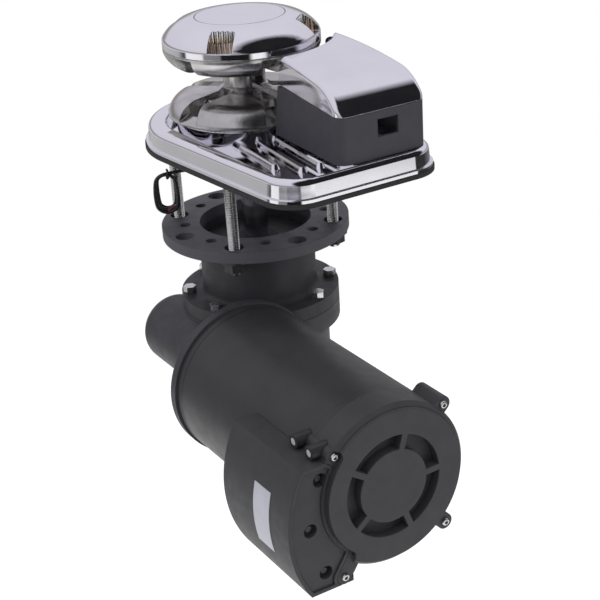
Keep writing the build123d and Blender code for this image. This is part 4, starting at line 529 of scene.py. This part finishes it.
# Floor: a pale disc that is white to the camera and keeps the object's shadow
FLOOR_RADIUS, FLOOR_POINTS = 1.1, 96
FLOOR_PLACE = (0.1, -0.05, -0.62)
FLOOR_GLOW = 0.82
floor_mat = bpy.data.materials.new("pale_floor")
floor_mat.use_nodes = True
fg = Graph(floor_mat.node_tree)
floor_path = fg.node("ShaderNodeLightPath").outputs
shown = fg.fold("MAXIMUM", [floor_path["Is Camera Ray"], floor_path["Is Glossy Ray"],
                            floor_path["Is Transmission Ray"]])
cloudy = fg.mix(fg.ramp(fg.noise(1.5), *CLOUD), (0.78, 0.78, 0.79, 1), (0.82, 0.82, 0.82, 1))
floor_shader = floor_mat.node_tree.nodes[SHADER].inputs
fg.feed(floor_shader["Base Color"], fg.mix(shown, cloudy, (0.30, 0.30, 0.30, 1)))
fg.feed(floor_shader["Emission Color"], (1, 1, 1, 1))
fg.feed(floor_shader["Emission Strength"], fg.math("MULTIPLY", shown, FLOOR_GLOW))
fg.feed(floor_shader["Roughness"], 0.8)
fg.feed(floor_shader["Specular IOR Level"], 0.0)
floor_mesh = bpy.data.meshes.new("floor")
floor_turns = [2 * math.pi * k / FLOOR_POINTS for k in range(FLOOR_POINTS)]
floor_rim = [(FLOOR_RADIUS * math.cos(turn), FLOOR_RADIUS * math.sin(turn), 0) for turn in floor_turns]
floor_mesh.from_pydata(floor_rim, [], [list(range(FLOOR_POINTS))])
floor = link(bpy.data.objects.new("floor", floor_mesh))
floor.location = FLOOR_PLACE
floor_mesh.materials.append(floor_mat)

# World: white to the camera. Metal sees a lilac sky with a dark side, a warm horizon, and
# bright and dark cards below. Everything else is lit by a fill that is stronger overhead.
CARDS = ((-180, 0.50), (-150, 0.48), (-134, 0.44), (-124, 0.10), (-120, 0.03), (-116, 0.95), (-89, 0.90),
         (-86, 0.24), (-62, 0.20), (-59, 0.01), (-20, 0.01), (-14, 1.0), (37, 0.95), (42, 0.03), (75, 0.03),
         (180, 0.45))  # heading in degrees from east, and grey level
SKY_LOW, SKY_HIGH = (0.66, 0.65, 0.72, 1), (0.72, 0.71, 0.78, 1)
HORIZON = (0.30, 0.28, 0.27, 1)
DARK_SIDE = (0.012, 0.012, 0.014, 1)
DARK_SIDE_WAY = (0.85, 0.27, 0.45)  # east, north and up
DARK_SIDE_EDGE = (0.53, 0.69)
# The levels below are heights of a ray's direction, from -1 straight down to 1 straight up
SKY_SPAN, HORIZON_FOOT, HORIZON_HEAD = (0.1, 0.9), (-0.12, -0.04), (0.08, 0.20)
CARDS_HEAD, GROUND_HEAD = (-0.20, -0.14), (-0.80, -0.60)
GROUND = (0.9, 0.9, 0.9, 1)
FILL_COLOR, FILL_STRENGTH = (0.95, 0.96, 1.0, 1), (0.58, 1.15)
world = bpy.data.worlds.new("studio")
scene.world = world
world.use_nodes = True
world.node_tree.nodes.clear()
wg = Graph(world.node_tree)
wg.coords = wg.node("ShaderNodeTexCoord").outputs["Generated"]
east, north, height = wg.axes()


def grey_stops(value, stops):
    """Grey level that runs from stop to stop, each (degrees, level); value is 0 at -180 and 1 at 180."""
    ramp = wg.node("ShaderNodeValToRGB", {0: value})
    elements = ramp.color_ramp.elements
    while len(elements) < len(stops):
        elements.new(0.5)
    for element, (degrees, level) in zip(elements, stops):
        element.position = (degrees + 180) / 360
        element.color = (level, level, level, 1)
    return ramp.outputs[0]


def background(color, strength):
    return wg.node("ShaderNodeBackground", {"Color": color, "Strength": strength}).outputs[0]


heading_turn = wg.math("DIVIDE", wg.math("ARCTAN2", north, east), 2 * math.pi)
cards = grey_stops(wg.math("ADD", heading_turn, 0.5), CARDS)
sky = wg.mix(wg.ramp(height, *SKY_SPAN), SKY_LOW, SKY_HIGH)
horizon = wg.math("MULTIPLY", wg.ramp(height, *HORIZON_FOOT), wg.ramp(height, *HORIZON_HEAD, 1.0, 0.0))
sky = wg.mix(horizon, sky, HORIZON)
toward = wg.fold("ADD", [wg.math("MULTIPLY", part, way)
                         for part, way in zip((east, north, height), DARK_SIDE_WAY)])
sky = wg.mix(wg.ramp(toward, *DARK_SIDE_EDGE), sky, DARK_SIDE)
mirrored = wg.mix(wg.ramp(height, *CARDS_HEAD), cards, sky)
mirrored = wg.mix(wg.ramp(height, *GROUND_HEAD), GROUND, mirrored)
path = wg.node("ShaderNodeLightPath").outputs
fill = background(FILL_COLOR, wg.ramp(height, 0.0, 1.0, *FILL_STRENGTH))
mirror = background(mirrored, 1.0)
lit = wg.node("ShaderNodeMixShader", {0: path["Is Glossy Ray"], 1: fill, 2: mirror}).outputs[0]
seen = wg.math("MAXIMUM", path["Is Camera Ray"], path["Is Transmission Ray"])
whole = wg.node("ShaderNodeMixShader", {0: seen, 1: lit, 2: background((1, 1, 1, 1), 1.0)}).outputs[0]
wg.node("ShaderNodeOutputWorld", {"Surface": whole})

LAMP_TARGET = Vector((0.1, 0, -0.05))


def area_light(name, place, size, power):
    """Lamp that faces the object and shows in no reflection."""
    data = bpy.data.lights.new(name, "AREA")
    data.shape = "RECTANGLE"
    data.size, data.size_y = size
    data.energy = power
    lamp = link(bpy.data.objects.new(name, data))
    lamp.location = place
    lamp.rotation_euler = (LAMP_TARGET - Vector(place)).to_track_quat("-Z", "Y").to_euler()
    lamp.visible_glossy = False


area_light("key", (0.2, -1.5, 1.4), (1.2, 0.8), 2.5)
area_light("rim", (-0.9, 1.3, 0.9), (0.9, 0.9), 8)
area_light("side", (1.7, 0.9, 0.6), (0.7, 1.0), 6)
